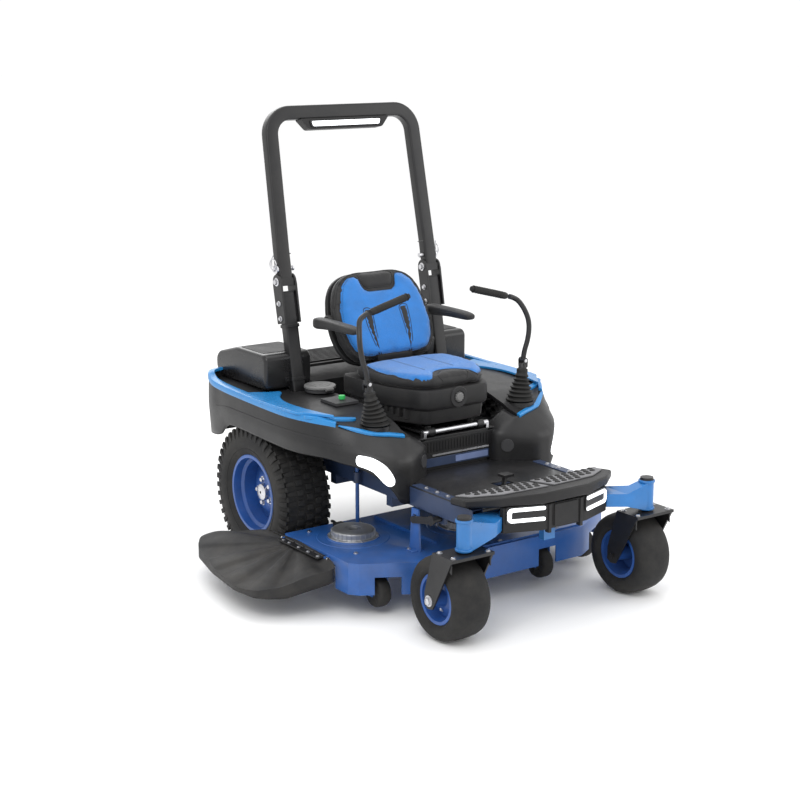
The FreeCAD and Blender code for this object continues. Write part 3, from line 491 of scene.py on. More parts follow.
def crescent_lamp():
    """The lens on the nose: a crowned band between two lines on the skin, with rounded ends."""
    rings, steps, span = [], 6, len(LAMP_TOP) - 1
    for i in range(span * steps + 1):
        t = i / steps
        high, low = spline(LAMP_TOP, t), spline(LAMP_FOOT, t)
        ends = min(1.0, min(t, span - t) / 0.5)
        spread = max(0.3, math.sqrt(1 - (1 - ends) ** 2))
        ring = []
        for share, rise in ((0, -2), (0, 2.6), (0.05, 4.4), (0.2, 5.2), (0.5, 5.6), (0.8, 5.2), (0.95, 4.4),
                            (1, 2.6), (1, -2)):
            u, v = high.lerp(low, 0.5 + (share - 0.5) * spread)
            ring.append(tuple(pod_skin(u, min(v, 1)) + skin_normal(u, min(v, 0.96)) * rise))
        rings.append(ring)
    return loft(rings)


def edge_trim():
    """The blue strip along the pod's top edge: chamfered, wide behind and thin in front."""
    rings = []
    stops = [(0.9, 20, 0), (2, 22, 0), (3, 26, 0), (4, 27, 0), (6, 28, 0), (8, 29, 0), (9, 34, 0),
             (10, 30, 0), (11.2, 22, 0),
             (12.4, 16, 0), (13.4, 11, 0)]
    for i in range((len(stops) - 1) * 5 + 1):
        u, width, _ = spline(stops, i / 5)
        top = pod_skin(u, 0)
        ahead = (pod_skin(u + 0.1, 0) - pod_skin(u - 0.1, 0)).normalized()
        inward = Vector((0, 0, 1)).cross(ahead)
        inward = -inward if inward.dot(Vector((400, 0, 0)) - Vector((top.x, top.y, 0))) < 0 else inward
        out = -inward
        section = [(out * 3, -18), (out * 5, -6), (out * 2, 7), (inward * width * 0.5, 11),
                   (inward * width, 10),
                   (inward * (width + 2), 0), (inward * width * 0.5, -3), (inward * 2, -16)]
        rings.append([tuple(top + a + Vector((0, 0, b))) for a, b in section])
    return loft(rings)


def triangle_flare():
    """The blue triangle where the trim widens in front of the console box."""
    outline = [(628, 30), (628, -330), (600, -395), (560, -455), (525, -500), (540, -430), (556, -330),
               (560, -200), (528, -95),
               (476, -20), (520, 4)]
    return slab(smooth_outline(outline), "z", 722, 733)


def inner_band():
    """The thin blue strip that runs from the flare inboard across the pod's top."""
    outline = smooth_outline([(606, -404), (590, -440), (530, -480), (446, -508), (428, -498), (520, -464),
                              (572, -430), (588, -398)])
    return loft([[(x, y, 714 + min(0, y + 450) * 30 / 110 + rise) for x, y in outline] for rise in (-3, 10)])


def smile_trim():
    """The curved blue strip round the front edge of the pod's top."""
    rings = []
    stops = [(13.6, 2), (14.4, 7), (15.4, 10), (16.6, 11), (18, 11.5), (19.4, 11.5), (20.3, 11), (20.8, 9)]
    for i in range((len(stops) - 1) * 5 + 1):
        u, size = spline([s + (0,) for s in stops], i / 5)[:2]
        top = pod_skin(u, 0)
        ahead = (pod_skin(min(u + 0.1, 22), 0) - pod_skin(u - 0.1, 0)).normalized()
        out = ahead.cross(Vector((0, 0, 1)))
        out = -out if out.dot(Vector((top.x, top.y, 0)) - Vector((380, -480, 0))) < 0 else out
        section = [(out * 7, -size * 0.9), (out * 9, 0), (out * 4, size * 0.6), (-out * size, size * 0.7),
                   (-out * size * 1.4, 0),
                   (-out * 2, -size)]
        rings.append([tuple(top + a + Vector((0, 0, b))) for a, b in section])
    return loft(rings)


def smooth_outline(points, steps=4):
    """A closed, rounded outline through given points."""
    count = len(points)
    path = []
    for i in range(count):
        a, b, c, d = (Vector(points[(i + k) % count]) for k in (-1, 0, 1, 2))
        for step in range(steps):
            f = step / steps
            point = 0.5 * (2 * b + (c - a) * f + (2 * a - 5 * b + 4 * c - d) * f * f
                           + (3 * b - a - 3 * c + d) * f ** 3)
            path.append(tuple(point))
    return path


def rounded(points, radius, steps=5):
    """A closed outline with its corners rounded."""
    path, count = [], len(points)
    for i in range(count):
        before, corner, after = (Vector(points[(i + k) % count]) for k in (-1, 0, 1))
        r = min(radius, 0.45 * (corner - before).length, 0.45 * (after - corner).length)
        start, end = corner + (before - corner).normalized() * r, corner + (after - corner).normalized() * r
        for step in range(steps + 1):
            f = step / steps
            path.append(tuple(start.lerp(corner, f).lerp(corner.lerp(end, f), f)))
    return path


def disc_on_skin(u, v, radius, low, high, steps=40):
    place, normal = pod_skin(u, v), skin_normal(u, v)
    across = normal.orthogonal().normalized()
    up = normal.cross(across)
    return loft([[tuple(place + normal * h + (across * math.cos(a) + up * math.sin(a)) * radius)
                  for a in around(steps)] for h in (low, high)])


def side_pods():
    for side, turn in SIDES:
        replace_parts(piece("pod_skin_" + side, turn(pod_panel()), "pod_plastic", "chassis", "body_black",
                          smooth=50,
                          solid=PANEL_WALL), "pod_panels")
        piece("pod_trim_" + side, turn(edge_trim()), "sky_trim", "chassis", "trim_blue", ("pod_trims",),
              smooth=45)
        piece("pod_flare_" + side, turn(triangle_flare()), "sky_trim", "chassis", "trim_blue", bevel=0.003)
        piece("pod_band_" + side, turn(inner_band()), "sky_trim", "chassis", "trim_blue", bevel=0.003)
        piece("pod_smile_" + side, turn(smile_trim()), "sky_trim", "chassis", "trim_blue", smooth=45)
        piece("pod_lamp_" + side, turn(crescent_lamp()), "lamp", "chassis", "lens_white", smooth=50)
        groove = ribbon([(4.6, 0.50, 0.5), (6.5, 0.42, 1.0), (9, 0.36, 1.0), (11.5, 0.34, 1.0),
                         (14, 0.36, 0.8)], 9, 3)
        dial = merged([disc_on_skin(21.45, 0.63, 27, -2, 5), disc_on_skin(21.45, 0.63, 20, 5, 7)])
        piece("pod_dial_" + side, turn(dial), "grey_plastic", "chassis", "body_black", bevel=0.0015)
        piece("pod_crease_" + side, turn(groove), "pod_plastic", "chassis", "body_black", smooth=50)


# ---------------------------------------------------------------- wheels

def rear_tyre_carcass(x, radius, half):
    profile = [(-0.83, 0.53), (-0.87, 0.56), (-0.97, 0.63), (-1.0, 0.70), (-0.995, 0.78), (-0.96, 0.85),
               (-0.88, 0.905),
               (-0.72, 0.94), (-0.4, 0.955), (0, 0.96)]
    profile = profile + [(-a, r) for a, r in reversed(profile[:-1])]
    profile += [(0.7, 0.53), (0.7, 0.60), (-0.7, 0.60), (-0.7, 0.53)]
    return lathe([(a * half, r * radius) for a, r in profile], (x, 0, radius), "x", 96)


def tread_lugs(x, radius, half, count=44):
    """Square turf blocks in staggered rows round the tread, with longer ones on the shoulders."""
    blocks = []
    rows = [(-0.70, 0.17, 0.0, 0.955, 0.955), (-0.36, 0.13, 0.5, 0.985, 0.992), (0.0, 0.13, 0.0, 1.0, 1.0),
            (0.36, 0.13, 0.5, 0.992, 0.985), (0.70, 0.17, 0.0, 0.955, 0.955)]
    for offset, wide, shift, r_left, r_right in rows:
        for k in range(count):
            middle = 2 * math.pi * (k + shift) / count
            reach = 0.30 * 2 * math.pi / count
            ring_points = []
            for depth in (0, 1):
                for a, s, r in ((-1, -1, r_left), (-1, 1, r_right), (1, 1, r_right), (1, -1, r_left)):
                    angle = middle + a * reach * (1 - 0.12 * depth)
                    inner = 0.90 if abs(offset) > 0.5 else 0.945
                    far = radius * (r if depth else inner)
                    ring_points.append((x + half * (offset + s * wide * (1 - 0.08 * depth)),
                                        -far * math.sin(angle),
                                        radius + far * math.cos(angle)))
            blocks.append((ring_points,
                           [[0, 3, 2, 1], [4, 5, 6, 7], [0, 1, 5, 4], [1, 2, 6, 5], [2, 3, 7, 6],
                            [3, 0, 4, 7]]))
    for side in (-1, 1):
        for k in range(count):
            middle = 2 * math.pi * (k + 0.5) / count
            reach = 0.24 * 2 * math.pi / count
            outer, inner = [], []
            for a in (-1, 1):
                angle = middle + a * reach
                for r, o in ((0.80, 1.0), (0.86, 1.0), (0.915, 0.985), (0.952, 0.93)):
                    outer.append((x + side * half * o, -radius * r * math.sin(angle), radius
                                  + radius * r * math.cos(angle)))
                    inner.append((x + side * half * (o - 0.12), -radius * (r - 0.03) * math.sin(angle),
                                  radius + radius * (r - 0.03) * math.cos(angle)))
            faces = [[0, 1, 5, 4], [1, 2, 6, 5], [2, 3, 7, 6], [8, 12, 13, 9], [9, 13, 14, 10],
                     [10, 14, 15, 11], [0, 8, 9, 1],
                     [1, 9, 10, 2], [2, 10, 11, 3], [4, 5, 13, 12], [5, 6, 14, 13], [6, 7, 15, 14],
                     [0, 4, 12, 8], [3, 11, 15, 7]]
            blocks.append((outer + inner, faces))
    return merged(blocks)


def sidewall_rings(x, centre_y, radius, half, side, levels):
    return merged([lathe([(side * half * 0.90, r * radius), (side * half * 1.0, r * radius - 1.5),
                          (side * half * 1.0, r * radius + 1.5), (side * half * 0.90, r * radius + 3)],
                         (x, centre_y, radius), "x", 96) for r in levels])


def rim(x, centre_y, radius, rim_radius, half, dish_depth, hub_radius):
    """A pressed steel wheel: the flanged barrel and its dished disc."""
    r = rim_radius
    barrel = [(half + 6, r - 6), (half + 6, r + 6), (half + 3, r + 9), (half - 1, r + 7), (half - 4, r - 3),
              (half * 0.7, r - 4),
              (half * 0.6, r - 16), (0, r - 18)]
    barrel += [(-a, b) for a, b in reversed(barrel[:-1])]
    barrel += [(-a, b - 5) for a, b in barrel[1:-1] if b < r + 6]
    dish = [(dish_depth - 14, r - 17), (dish_depth - 6, r - 22), (dish_depth - 2, r * 0.74),
            (dish_depth + 14, r * 0.60),
            (dish_depth + 30, r * 0.46), (dish_depth + 34, hub_radius + 8), (dish_depth + 34, hub_radius),
            (dish_depth + 26, hub_radius), (dish_depth + 24, r * 0.46), (dish_depth + 8, r * 0.62),
            (dish_depth - 8, r * 0.76),
            (dish_depth - 14, r - 24)]
    return merged([lathe(profile, (x, centre_y, radius), "x", 72) for profile in (barrel, dish)])


def wheel_nuts(x, centre_y, radius, face, pitch, count, size):
    nuts = []
    for a in around(count, 0.25):
        nuts.append(bolt((x + face, centre_y + pitch * math.sin(a), radius + pitch * math.cos(a)), "x", size,
                         size * 1.3))
    return merged(nuts)


REAR_X, REAR_R, REAR_HALF = 515, 305, 115
CASTER_X, CASTER_Y, CASTER_R = 455, -1170, 165


def wheels():
    for side, turn in SIDES:
        body = "rear_wheel_" + side
        carcass = merged([rear_tyre_carcass(REAR_X, REAR_R, REAR_HALF),
                          sidewall_rings(REAR_X, 0, REAR_R, REAR_HALF * 0.985, 1, (0.64, 0.72)),
                          sidewall_rings(REAR_X, 0, REAR_R, REAR_HALF * 0.985, -1, (0.64, 0.72))])
        piece("drive_tyre_" + side, turn(carcass), "rubber", body, "tyre", ("rear_tyre_" + side,), smooth=50)
        piece("drive_lugs_" + side, turn(tread_lugs(REAR_X, REAR_R, REAR_HALF)), "rubber", body, "tyre",
              bevel=0.002)
        piece("drive_rim_" + side, turn(rim(REAR_X, 0, REAR_R, 159.5, 95, 6, 20)), "rim_paint", body,
              "painted_blue",
              ("rear_rim_" + side,), smooth=40)
        hub = merged([lathe([(38, 6), (38, 34), (46, 36), (56, 34), (60, 26), (60, 6)], (REAR_X, 0, REAR_R),
                            "x", 40),
                      wheel_nuts(REAR_X, 0, REAR_R, 36, 52, 5, 10)])
        bright("drive_hub_" + side, turn(hub), body, smooth=35)
        body = "caster_wheel_" + side
        tyre = [(-62, 92), (-64, 99), (-74, 104), (-80, 112), (-82.5, 124), (-81, 136), (-76, 147),
                (-66, 156.5), (-50, 161.5),
                (-25, 164.3), (0, 165)]
        tyre += [(-a, r) for a, r in reversed(tyre[:-1])] + [(48, 92), (48, 100), (-48, 100), (-48, 92)]
        shape = merged([lathe(tyre, (CASTER_X, CASTER_Y, CASTER_R), "x", 96),
                        sidewall_rings(CASTER_X, CASTER_Y, CASTER_R, 81, 1, (0.70, 0.78)),
                        sidewall_rings(CASTER_X, CASTER_Y, CASTER_R, 81, -1, (0.70, 0.78))])
        piece("caster_rubber_" + side, turn(shape), "rubber", body, "tyre", ("caster_tyre_" + side,),
              smooth=50)
        dish = [(14, 84), (20, 84), (24, 60), (38, 34), (70, 24), (86, 23), (86, 12), (-86, 12), (-86, 23),
                (-70, 24), (6, 34),
                (10, 60)]
        barrel = [(67, 85), (67, 97), (64, 99), (61, 97), (58, 90), (40, 88), (36, 82), (-36, 82), (-40, 88),
                  (-58, 90), (-61, 97),
                  (-64, 99), (-67, 97), (-67, 85), (-40, 80), (-34, 77), (34, 77), (40, 80)]
        shape = merged([lathe(dish, (CASTER_X, CASTER_Y, CASTER_R), "x", 64),
                        lathe(barrel, (CASTER_X, CASTER_Y, CASTER_R), "x", 64)])
        piece("caster_disc_" + side, turn(shape), "rim_paint", body, "painted_blue", ("caster_rim_" + side,),
              smooth=40)
        bright("caster_nuts_" + side, turn(wheel_nuts(CASTER_X, CASTER_Y, CASTER_R, 24, 55, 5, 7)), body)


# ---------------------------------------------------------------- seat

BACK_FOOT, BACK_LEAN = Vector((0, -190, 850)), math.radians(26)
BACK_MIDDLE = 204
BACK_UP = Vector((0, math.sin(BACK_LEAN), math.cos(BACK_LEAN)))
BACK_BEHIND = Vector((0, math.cos(BACK_LEAN), -math.sin(BACK_LEAN)))
BACK_HALF = [(-145, 2), (-205, 22), (-240, 78), (-254, 150), (-248, 240), (-226, 320), (-188, 372),
             (-130, 400), (-50, 408)]
SEAT_MIDDLE, SEAT_LOW = -400, 803
CUSHION_HALF = [(60, -610), (128, -604), (186, -556), (232, -470), (246, -380), (244, -280), (226, -200),
                (120, -190)]


def on_back(x, s, n=0.0):
    """A point of the seat back: s up it, n behind its face."""
    return BACK_FOOT + Vector((x, 0, 0)) + BACK_UP * s + BACK_BEHIND * n


def symmetric(half):
    return half + [(-a, b) for a, b in reversed(half)]


def whole(half):
    """A closed outline from its right half, whose first and last points lie on the centre line."""
    return half + [(-a, b) for a, b in reversed(half[1:-1])]


def pillow(outline, place, depth, edge=16, steps=5):
    """A rounded slab, drawn in towards its front and back faces; place(a, b, c) gives the point."""
    loop = [Vector(p) for p in smooth_outline(outline, 5)]
    middle = sum(loop, Vector((0, 0))) / len(loop)
    rings = []
    for k in range(2 * steps + 1):
        angle = math.pi * k / (2 * steps)
        shrink, c = edge * (1 - math.sin(angle)), depth * (1 - math.cos(angle)) / 2
        rings.append([tuple(place(*(p + (middle - p).normalized() * shrink), c)) for p in loop])
    face = [q + (middle - q).normalized() * edge for q in loop]
    for share in (0.7, 0.4):
        inner = [middle + (p - middle) * share for p in face]
        rings.append([tuple(place(*p, depth)) for p in inner])
        rings.insert(0, [tuple(place(*p, 0)) for p in inner])
    return loft(rings)


def inflated(made, voxel, pressure, cap):
    """Lets a closed cushion swell as stuffed cloth, holding each point within cap of where it began."""
    remesh = made.modifiers.new("remesh", "REMESH")
    remesh.mode, remesh.voxel_size = "VOXEL", voxel
    apply_modifiers(made)
    start = [v.co.copy() for v in made.data.vertices]
    cloth = made.modifiers.new("cloth", "CLOTH")
    cloth.settings.use_pressure, cloth.settings.uniform_pressure_force = True, pressure
    cloth.settings.quality, cloth.settings.mass = 5, 0.4
    cloth.settings.tension_stiffness, cloth.settings.compression_stiffness = 18, 18
    cloth.settings.bending_stiffness = 6
    cloth.settings.effector_weights.gravity = 0
    cloth.collision_settings.use_self_collision = False
    for number in range(1, 21):
        bpy.context.scene.frame_set(number)
    apply_modifiers(made)
    for vertex, before in zip(made.data.vertices, start):
        move = vertex.co - before
        if move.length > cap:
            vertex.co = before + move.normalized() * cap
    bpy.context.scene.frame_set(1)
    made.data.polygons.foreach_set("use_smooth", [True] * len(made.data.polygons))


def apply_modifiers(made):
    """Bakes the object's modifiers into its mesh."""
    graph = bpy.context.evaluated_depsgraph_get()
    baked = bpy.data.meshes.new_from_object(made.evaluated_get(graph))
    old = made.data
    made.modifiers.clear()
    made.data = baked
    baked.name = old.name


def finer(made, levels=1):
    smoother = made.modifiers.new("smooth", "SUBSURF")
    smoother.levels = smoother.render_levels = levels


MISS_REACH = 0.12
VOXEL, PRESSURE = 0.006, 4.0


def surface_under(made):
    """A ray-casting tree of an object's finished shape."""
    graph = bpy.context.evaluated_depsgraph_get()
    return BVHTree.FromObject(made, graph)


def inside(point, loop):
    hit = False
    for (xa, ya), (xb, yb) in zip(loop, loop[1:] + loop[:1]):
        if (ya > point[1]) != (yb > point[1]) and point[0] < (xb - xa) * (point[1] - ya) / (yb - ya) + xa:
            hit = not hit
    return hit


def edge_distance(point, loop):
    best = 1e9
    p = Vector(point)
    for a, b in zip(loop, loop[1:] + loop[:1]):
        a, b = Vector(a), Vector(b)
        ab = b - a
        t = max(0, min(1, (p - a).dot(ab) / max(ab.length_squared, 1e-9)))
        best = min(best, (p - a - ab * t).length)
    return best


def laid(tree, origin, towards, rise):
    """The point that stands rise above a cushion, where a ray from origin meets it or passes nearest."""
    origin = origin * MM + ORIGIN
    hit = tree.ray_cast(origin, towards)[0]
    if hit is None:
        hit = tree.find_nearest(origin + towards * MISS_REACH)[0]
    return (hit - towards * rise * MM - ORIGIN) / MM


def sewn_panel(tree, loop, start, towards, lift, puff, pitch=9):
    """A padded panel laid on a cushion: its clean outline, filled with a fine net, dropped onto the surface.
    start(a, b) gives the point that each net point is dropped from, and towards is the way it drops."""
    loop = [tuple(p) for p in loop]
    low = [min(p[k] for p in loop) for k in range(2)]
    high = [max(p[k] for p in loop) for k in range(2)]
    net = []
    for i in range(int((high[0] - low[0]) / pitch) + 1):
        for j in range(int((high[1] - low[1]) / pitch) + 1):
            p = (low[0] + (i + 0.5 * (j % 2)) * pitch, low[1] + j * pitch)
            if inside(p, loop) and edge_distance(p, loop) > 0.45 * pitch:
                net.append(p)
    count = len(loop)
    edges = [(i, (i + 1) % count) for i in range(count)]
    points, _, faces, *_ = delaunay_2d_cdt([Vector(p) for p in loop + net], edges, [list(range(count))], 1,
                                           0.01)
    placed = []
    for p in points:
        d = edge_distance((p.x, p.y), loop)
        rise = lift + puff * (1 - math.exp(-d / 11))
        rise = -2.0 if d < 0.2 else rise
        placed.append(tuple(laid(tree, start(p.x, p.y), towards, rise)))
    return placed, [list(f) for f in faces]


def piping(tree, route, start, towards, radius, lift=0.5, closed=False):
    """A cord sewn along a line on a cushion."""
    path = [laid(tree, start(a, b), towards, lift) for a, b in route]
    if closed:
        path.append(path[0])
    return tube(path, radius, 8)


def stitches(tree, route, start, towards, lift=0.6, pitch=9.0, size=0.8):
    """Short thread stitches along a line on a cushion."""
    threads, carried = [], 0.0
    for (xa, ya), (xb, yb) in zip(route, route[1:]):
        length = math.hypot(xb - xa, yb - ya)
        place = carried
        while place + pitch * 0.55 < length:
            ends = [laid(tree, start(xa + (xb - xa) * t, ya + (yb - ya) * t), towards, lift)
                    for t in (place / length, (place + pitch * 0.55) / length)]
            threads.append(tube([ends[0], (ends[0] + ends[1]) / 2 - towards * 0.5, ends[1]], size, 6))
            place += pitch
        carried = place - length
    return merged(threads)


BACK_FIELD_HALF = [(0, 304), (58, 304), (82, 318), (94, 366), (112, 380), (142, 376), (176, 348), (202, 296),
                   (220, 228),
                   (224, 150), (212, 84), (188, 44), (150, 24), (0, 18)]
BACK_STRIPE = [(70, 222), (90, 232), (114, 228), (112, 150), (100, 80), (84, 22), (74, 22), (76, 120)]
HEAD_PATCH = [(-66, 318), (66, 318), (80, 342), (88, 384), (60, 394), (-60, 394), (-88, 384), (-80, 342)]
SEAT_PANEL_HALF = [(0, -216), (120, -220), (204, -246), (222, -340), (216, -430), (198, -500), (170, -560),
                   (136, -592),
                   (106, -590), (84, -560), (58, -524), (26, -508), (0, -505)]
NOTCH = [(-58, -552), (-30, -528), (30, -528), (58, -552), (78, -586), (60, -600), (-60, -600), (-78, -586)]


def upholstery(name, shape, look="black_vinyl", replaces=()):
    return piece(name, shape, look, "seat", "seat_fabric", replaces, smooth=180)


def seat_back():
    outline = [(x * 0.985, 4 + s * 0.985) for x, s in symmetric(BACK_HALF)]
    shape = pillow(outline, lambda x, s, c: on_back(x, s, 66 - c), 58, 20)
    back = upholstery("back_pad", shape, replaces=("back_cushion",))
    inflated(back, VOXEL, PRESSURE, 0.010)
    finer(back)
    tree = surface_under(back)
    front = lambda x, s: on_back(x, s, -60)
    towards = BACK_BEHIND
    stripes = [BACK_STRIPE, [(-x, s) for x, s in reversed(BACK_STRIPE)]]
    for number, (outline, look, lift, puff) in enumerate((
            (whole(BACK_FIELD_HALF), "blue_cloth", 0.8, 6.5), (stripes[0], "black_vinyl", 7.0, 1.6),
            (stripes[1], "black_vinyl", 7.0, 1.6), (HEAD_PATCH, "black_vinyl", 0.8, 6.5))):
        loop = rounded(outline, 14)
        upholstery(f"back_panel_{number}", sewn_panel(tree, loop, front, towards, lift, puff), look)
        upholstery(f"back_cord_{number}",
                   piping(tree, loop, front, towards, 1.6, lift=lift + 0.4, closed=True))
    seam = whole([(x * 0.97, BACK_MIDDLE + (s - BACK_MIDDLE) * 0.97) for x, s in BACK_FIELD_HALF])
    upholstery("back_stitches", stitches(tree, seam, front, towards, lift=6.0))
    edge = [(x * 0.93, BACK_MIDDLE + (s - BACK_MIDDLE) * 0.94) for x,
            s in smooth_outline(symmetric(BACK_HALF), 4)]
    upholstery("back_piping", piping(tree, edge, front, towards, 3.2, closed=True))
    shell_loop = rounded(symmetric(BACK_HALF), 30)
    rings = []
    for n, size in ((62, 1.0), (74, 1.015), (88, 0.99), (96, 0.93), (99, 0.82)):
        rings.append([tuple(on_back(x * size, BACK_MIDDLE + (s - BACK_MIDDLE) * size, n)) for x,
                      s in shell_loop])
    shell = loft(rings)
    mount = slab(rounded([(-175, 803), (-128, 803), (-128, 880), (-112, 960), (-128, 968), (-150, 900),
                          (-175, 868)], 10), "x",
                 -90, 90)
    bosses = [lathe([(0, 8), (0, 24), (8, 27), (52, 27), (60, 22), (60, 8)], (side * 232 - 30, -40, 1010),
                    "x", 36)
              for side in (-1, 1)]
    pins = [lathe([(0, 0.5), (0, 9), (46, 9), (46, 0.5)], (258 if side > 0 else -304, -40, 1010), "x", 24)
            for side in (-1, 1)]
    piece("back_cover", merged([shell, mount] + bosses + pins), "plain_plastic", "seat", "seat_plastic",
          ("back_shell",),
          bevel=0.002, smooth=40)


def seat_base_pad():
    start = symmetric(CUSHION_HALF)
    outline = [(x * 0.985, SEAT_MIDDLE + (y - SEAT_MIDDLE) * 0.985) for x, y in start]
    shape = pillow(outline, lambda x, y, c: Vector((x, y, SEAT_LOW + c)), 40, 15)
    pad = upholstery("seat_pad", shape, replaces=("seat_cushion",))
    inflated(pad, VOXEL, PRESSURE, 0.009)
    finer(pad)
    tree = surface_under(pad)
    above = lambda x, y: Vector((x, y, 900))
    down = Vector((0, 0, -1))
    for name, outline, look in (("seat_panel", whole(SEAT_PANEL_HALF), "blue_cloth"),
                                ("seat_notch", NOTCH, "black_vinyl")):
        loop = rounded(outline, 18)
        upholstery(name, sewn_panel(tree, loop, above, down, 0.8, 6.0), look)
        upholstery(name + "_cord", piping(tree, loop, above, down, 1.9, closed=True))
    for k, x in enumerate((-74, 74)):
        seam = [(x, -236 - 12 * i) for i in range(22)]
        upholstery(f"seat_seam_{k}", piping(tree, seam, above, down, 2.2, lift=5.4))
    edge = [(x * 0.95, SEAT_MIDDLE + (y - SEAT_MIDDLE) * 0.945) for x, y in smooth_outline(start, 4)]
    upholstery("seat_piping", piping(tree, edge, above, down, 3.0, closed=True))


KNOB_Z = 761
HOUSING = [(112, -620), (160, -602), (190, -548), (240, -420), (246, -300), (240, -140), (150, -132)]


def seat_housing():
    """The seat's lower shell, ribbed along its sides, with the weight knob's round recess in front."""
    loop = smooth_outline(symmetric(HOUSING), 6)
    rings = []
    for z, size in ((655, 0.90), (664, 0.915), (712, 0.925), (722, 0.985), (728, 1.0), (760, 1.004),
                    (790, 1.0), (799, 0.985), (800, 0.95)):
        rings.append([(x * size, -376 + (y + 376) * size, z) for x, y in loop])
    body = loft(rings)
    ribs = []
    for side in (-1, 1):
        for k in range(6):
            y = -520 + 30 * k
            x = side * (196 + 50 * min(1, (k + 0.5) / 5.5))
            ribs.append(slab(rounded([(x - side * 26, 668 + 8 * k), (x + side * 1, 676 + 6 * k),
                                      (x + side * 1, 718),
                                      (x - side * 26, 712)], 4), "y", y - 6, y + 6))
    piece("seat_shell", merged([body] + ribs), "plain_plastic", "seat", "seat_plastic", ("seat_housing",),
          bevel=0.0015, smooth=35)
    collar = lathe([(0, 26), (0, 41), (3, 43), (7, 43), (10, 40), (8, 30), (8, 26)], (0, -627, KNOB_Z), "y",
                   64)
    piece("knob_collar", collar, "black_vinyl", "seat", "seat_plastic", smooth=35)
    runners = merged([block(x - 15, x + 15, -500, -160, 641, 656) for x in (-110, 110)])
    bright("seat_runners", runners, "seat", bevel=0.001)
    disc = [(-12, 0.5), (-12, 14), (-10, 16.5), (-8, 17), (6, 18.5), (8, 18.5), (8, 6), (30, 6), (30, 0.5)]
    knob = lathe(disc, (0, -622, KNOB_Z), "y", 48)
    grips = []
    for a in around(12):
        grips.append(lathe([(-9, 0.4), (-9, 3.0), (6, 3.0), (6, 0.4)],
                           (18 * math.cos(a), -622, KNOB_Z + 18 * math.sin(a)), "y", 10))
    piece("weight_dial_knob", merged([knob] + grips), "lid_grey", "weight_dial", "seat_plastic",
          ("weight_knob",), bevel=0.0006)


ARM_X = 295


def armrests():
    """Padded armrests: a black pad with a seam."""
    for side, turn in SIDES:
        rings = []
        profile = [(-18, 986, 1028, 20), (-40, 984, 1033, 25), (-90, 989, 1034, 26), (-180, 996, 1034, 27),
                   (-270, 998, 1032, 27),
                   (-312, 1000, 1027, 24), (-326, 1006, 1021, 15)]
        for i in range((len(profile) - 1) * 4 + 1):
            y, low, high, half = spline(profile, i / 4)
            middle, tall = (low + high) / 2, (high - low) / 2
            ring = []
            for a in around(20):
                ca, sa = math.cos(a), math.sin(a)
                ring.append((ARM_X + half * math.copysign(abs(ca) ** 0.6, ca), y, middle
                             + tall * math.copysign(abs(sa) ** 0.6, sa)))
            rings.append(ring)
        piece("arm_pad_" + side, turn(loft(rings)), "black_vinyl", "arm_" + side, "body_black",
              ("armrest_" + side,), smooth=60)
        seam = tube([(ARM_X + 27.5 * math.cos(a), -180 - 128 * math.sin(a), 1016) for a in
                     [math.pi * k / 24 for k in range(25)]], 1.6, 8)
        piece("arm_seam_" + side, turn(seam), "plain_plastic", "arm_" + side, "body_black", smooth=60)


# ---------------------------------------------------------------- steering levers

BOOT_FOOT, LEVER_HINGE = Vector((370, -563, 686)), Vector((398, -548, 852))
LEVER_LINE = [(398, -548, 846), (400, -548, 868), (406, -549, 898), (419, -549, 936), (428, -547, 980),
              (429, -540, 1022),
              (420, -524, 1064), (404, -504, 1098), (378, -496, 1115), (346, -494, 1124), (255, -494, 1148),
              (158, -494, 1173)]


def levers():
    for side, turn in SIDES:
        line = smooth_path(LEVER_LINE, 6)
        stalk = tube(line[:-14], 11, 20)
        hub = lathe([(-13, 5.2), (-13, 12), (13, 12), (13, 5.2)], tuple(LEVER_HINGE), "y", 28)
        black("stalk_" + side, turn(merged([stalk, hub])), "lever_" + side,
              ("control_lever_" + side,), smooth=50)
        grip_line = smooth_path(LEVER_LINE[-3:], 14)
        swell = [0.80, 0.96, 1.0] + [1.0] * 9 + [1.03, 1.0] * 6 + [1.0, 0.98, 0.9, 0.7]
        grip = tube(grip_line, 15, 22, swell)
        rings = merged([tube([grip_line[k], grip_line[k]
                              + (grip_line[k + 1] - grip_line[k]).normalized() * 3.2], 15.8, 22)
                        for k in range(4, len(grip_line) - 2, 2)])
        piece("grip_" + side, turn(merged([grip, rings])), "boot_rubber", "lever_" + side, "boot_rubber",
              smooth=50)
        boot(side, turn)


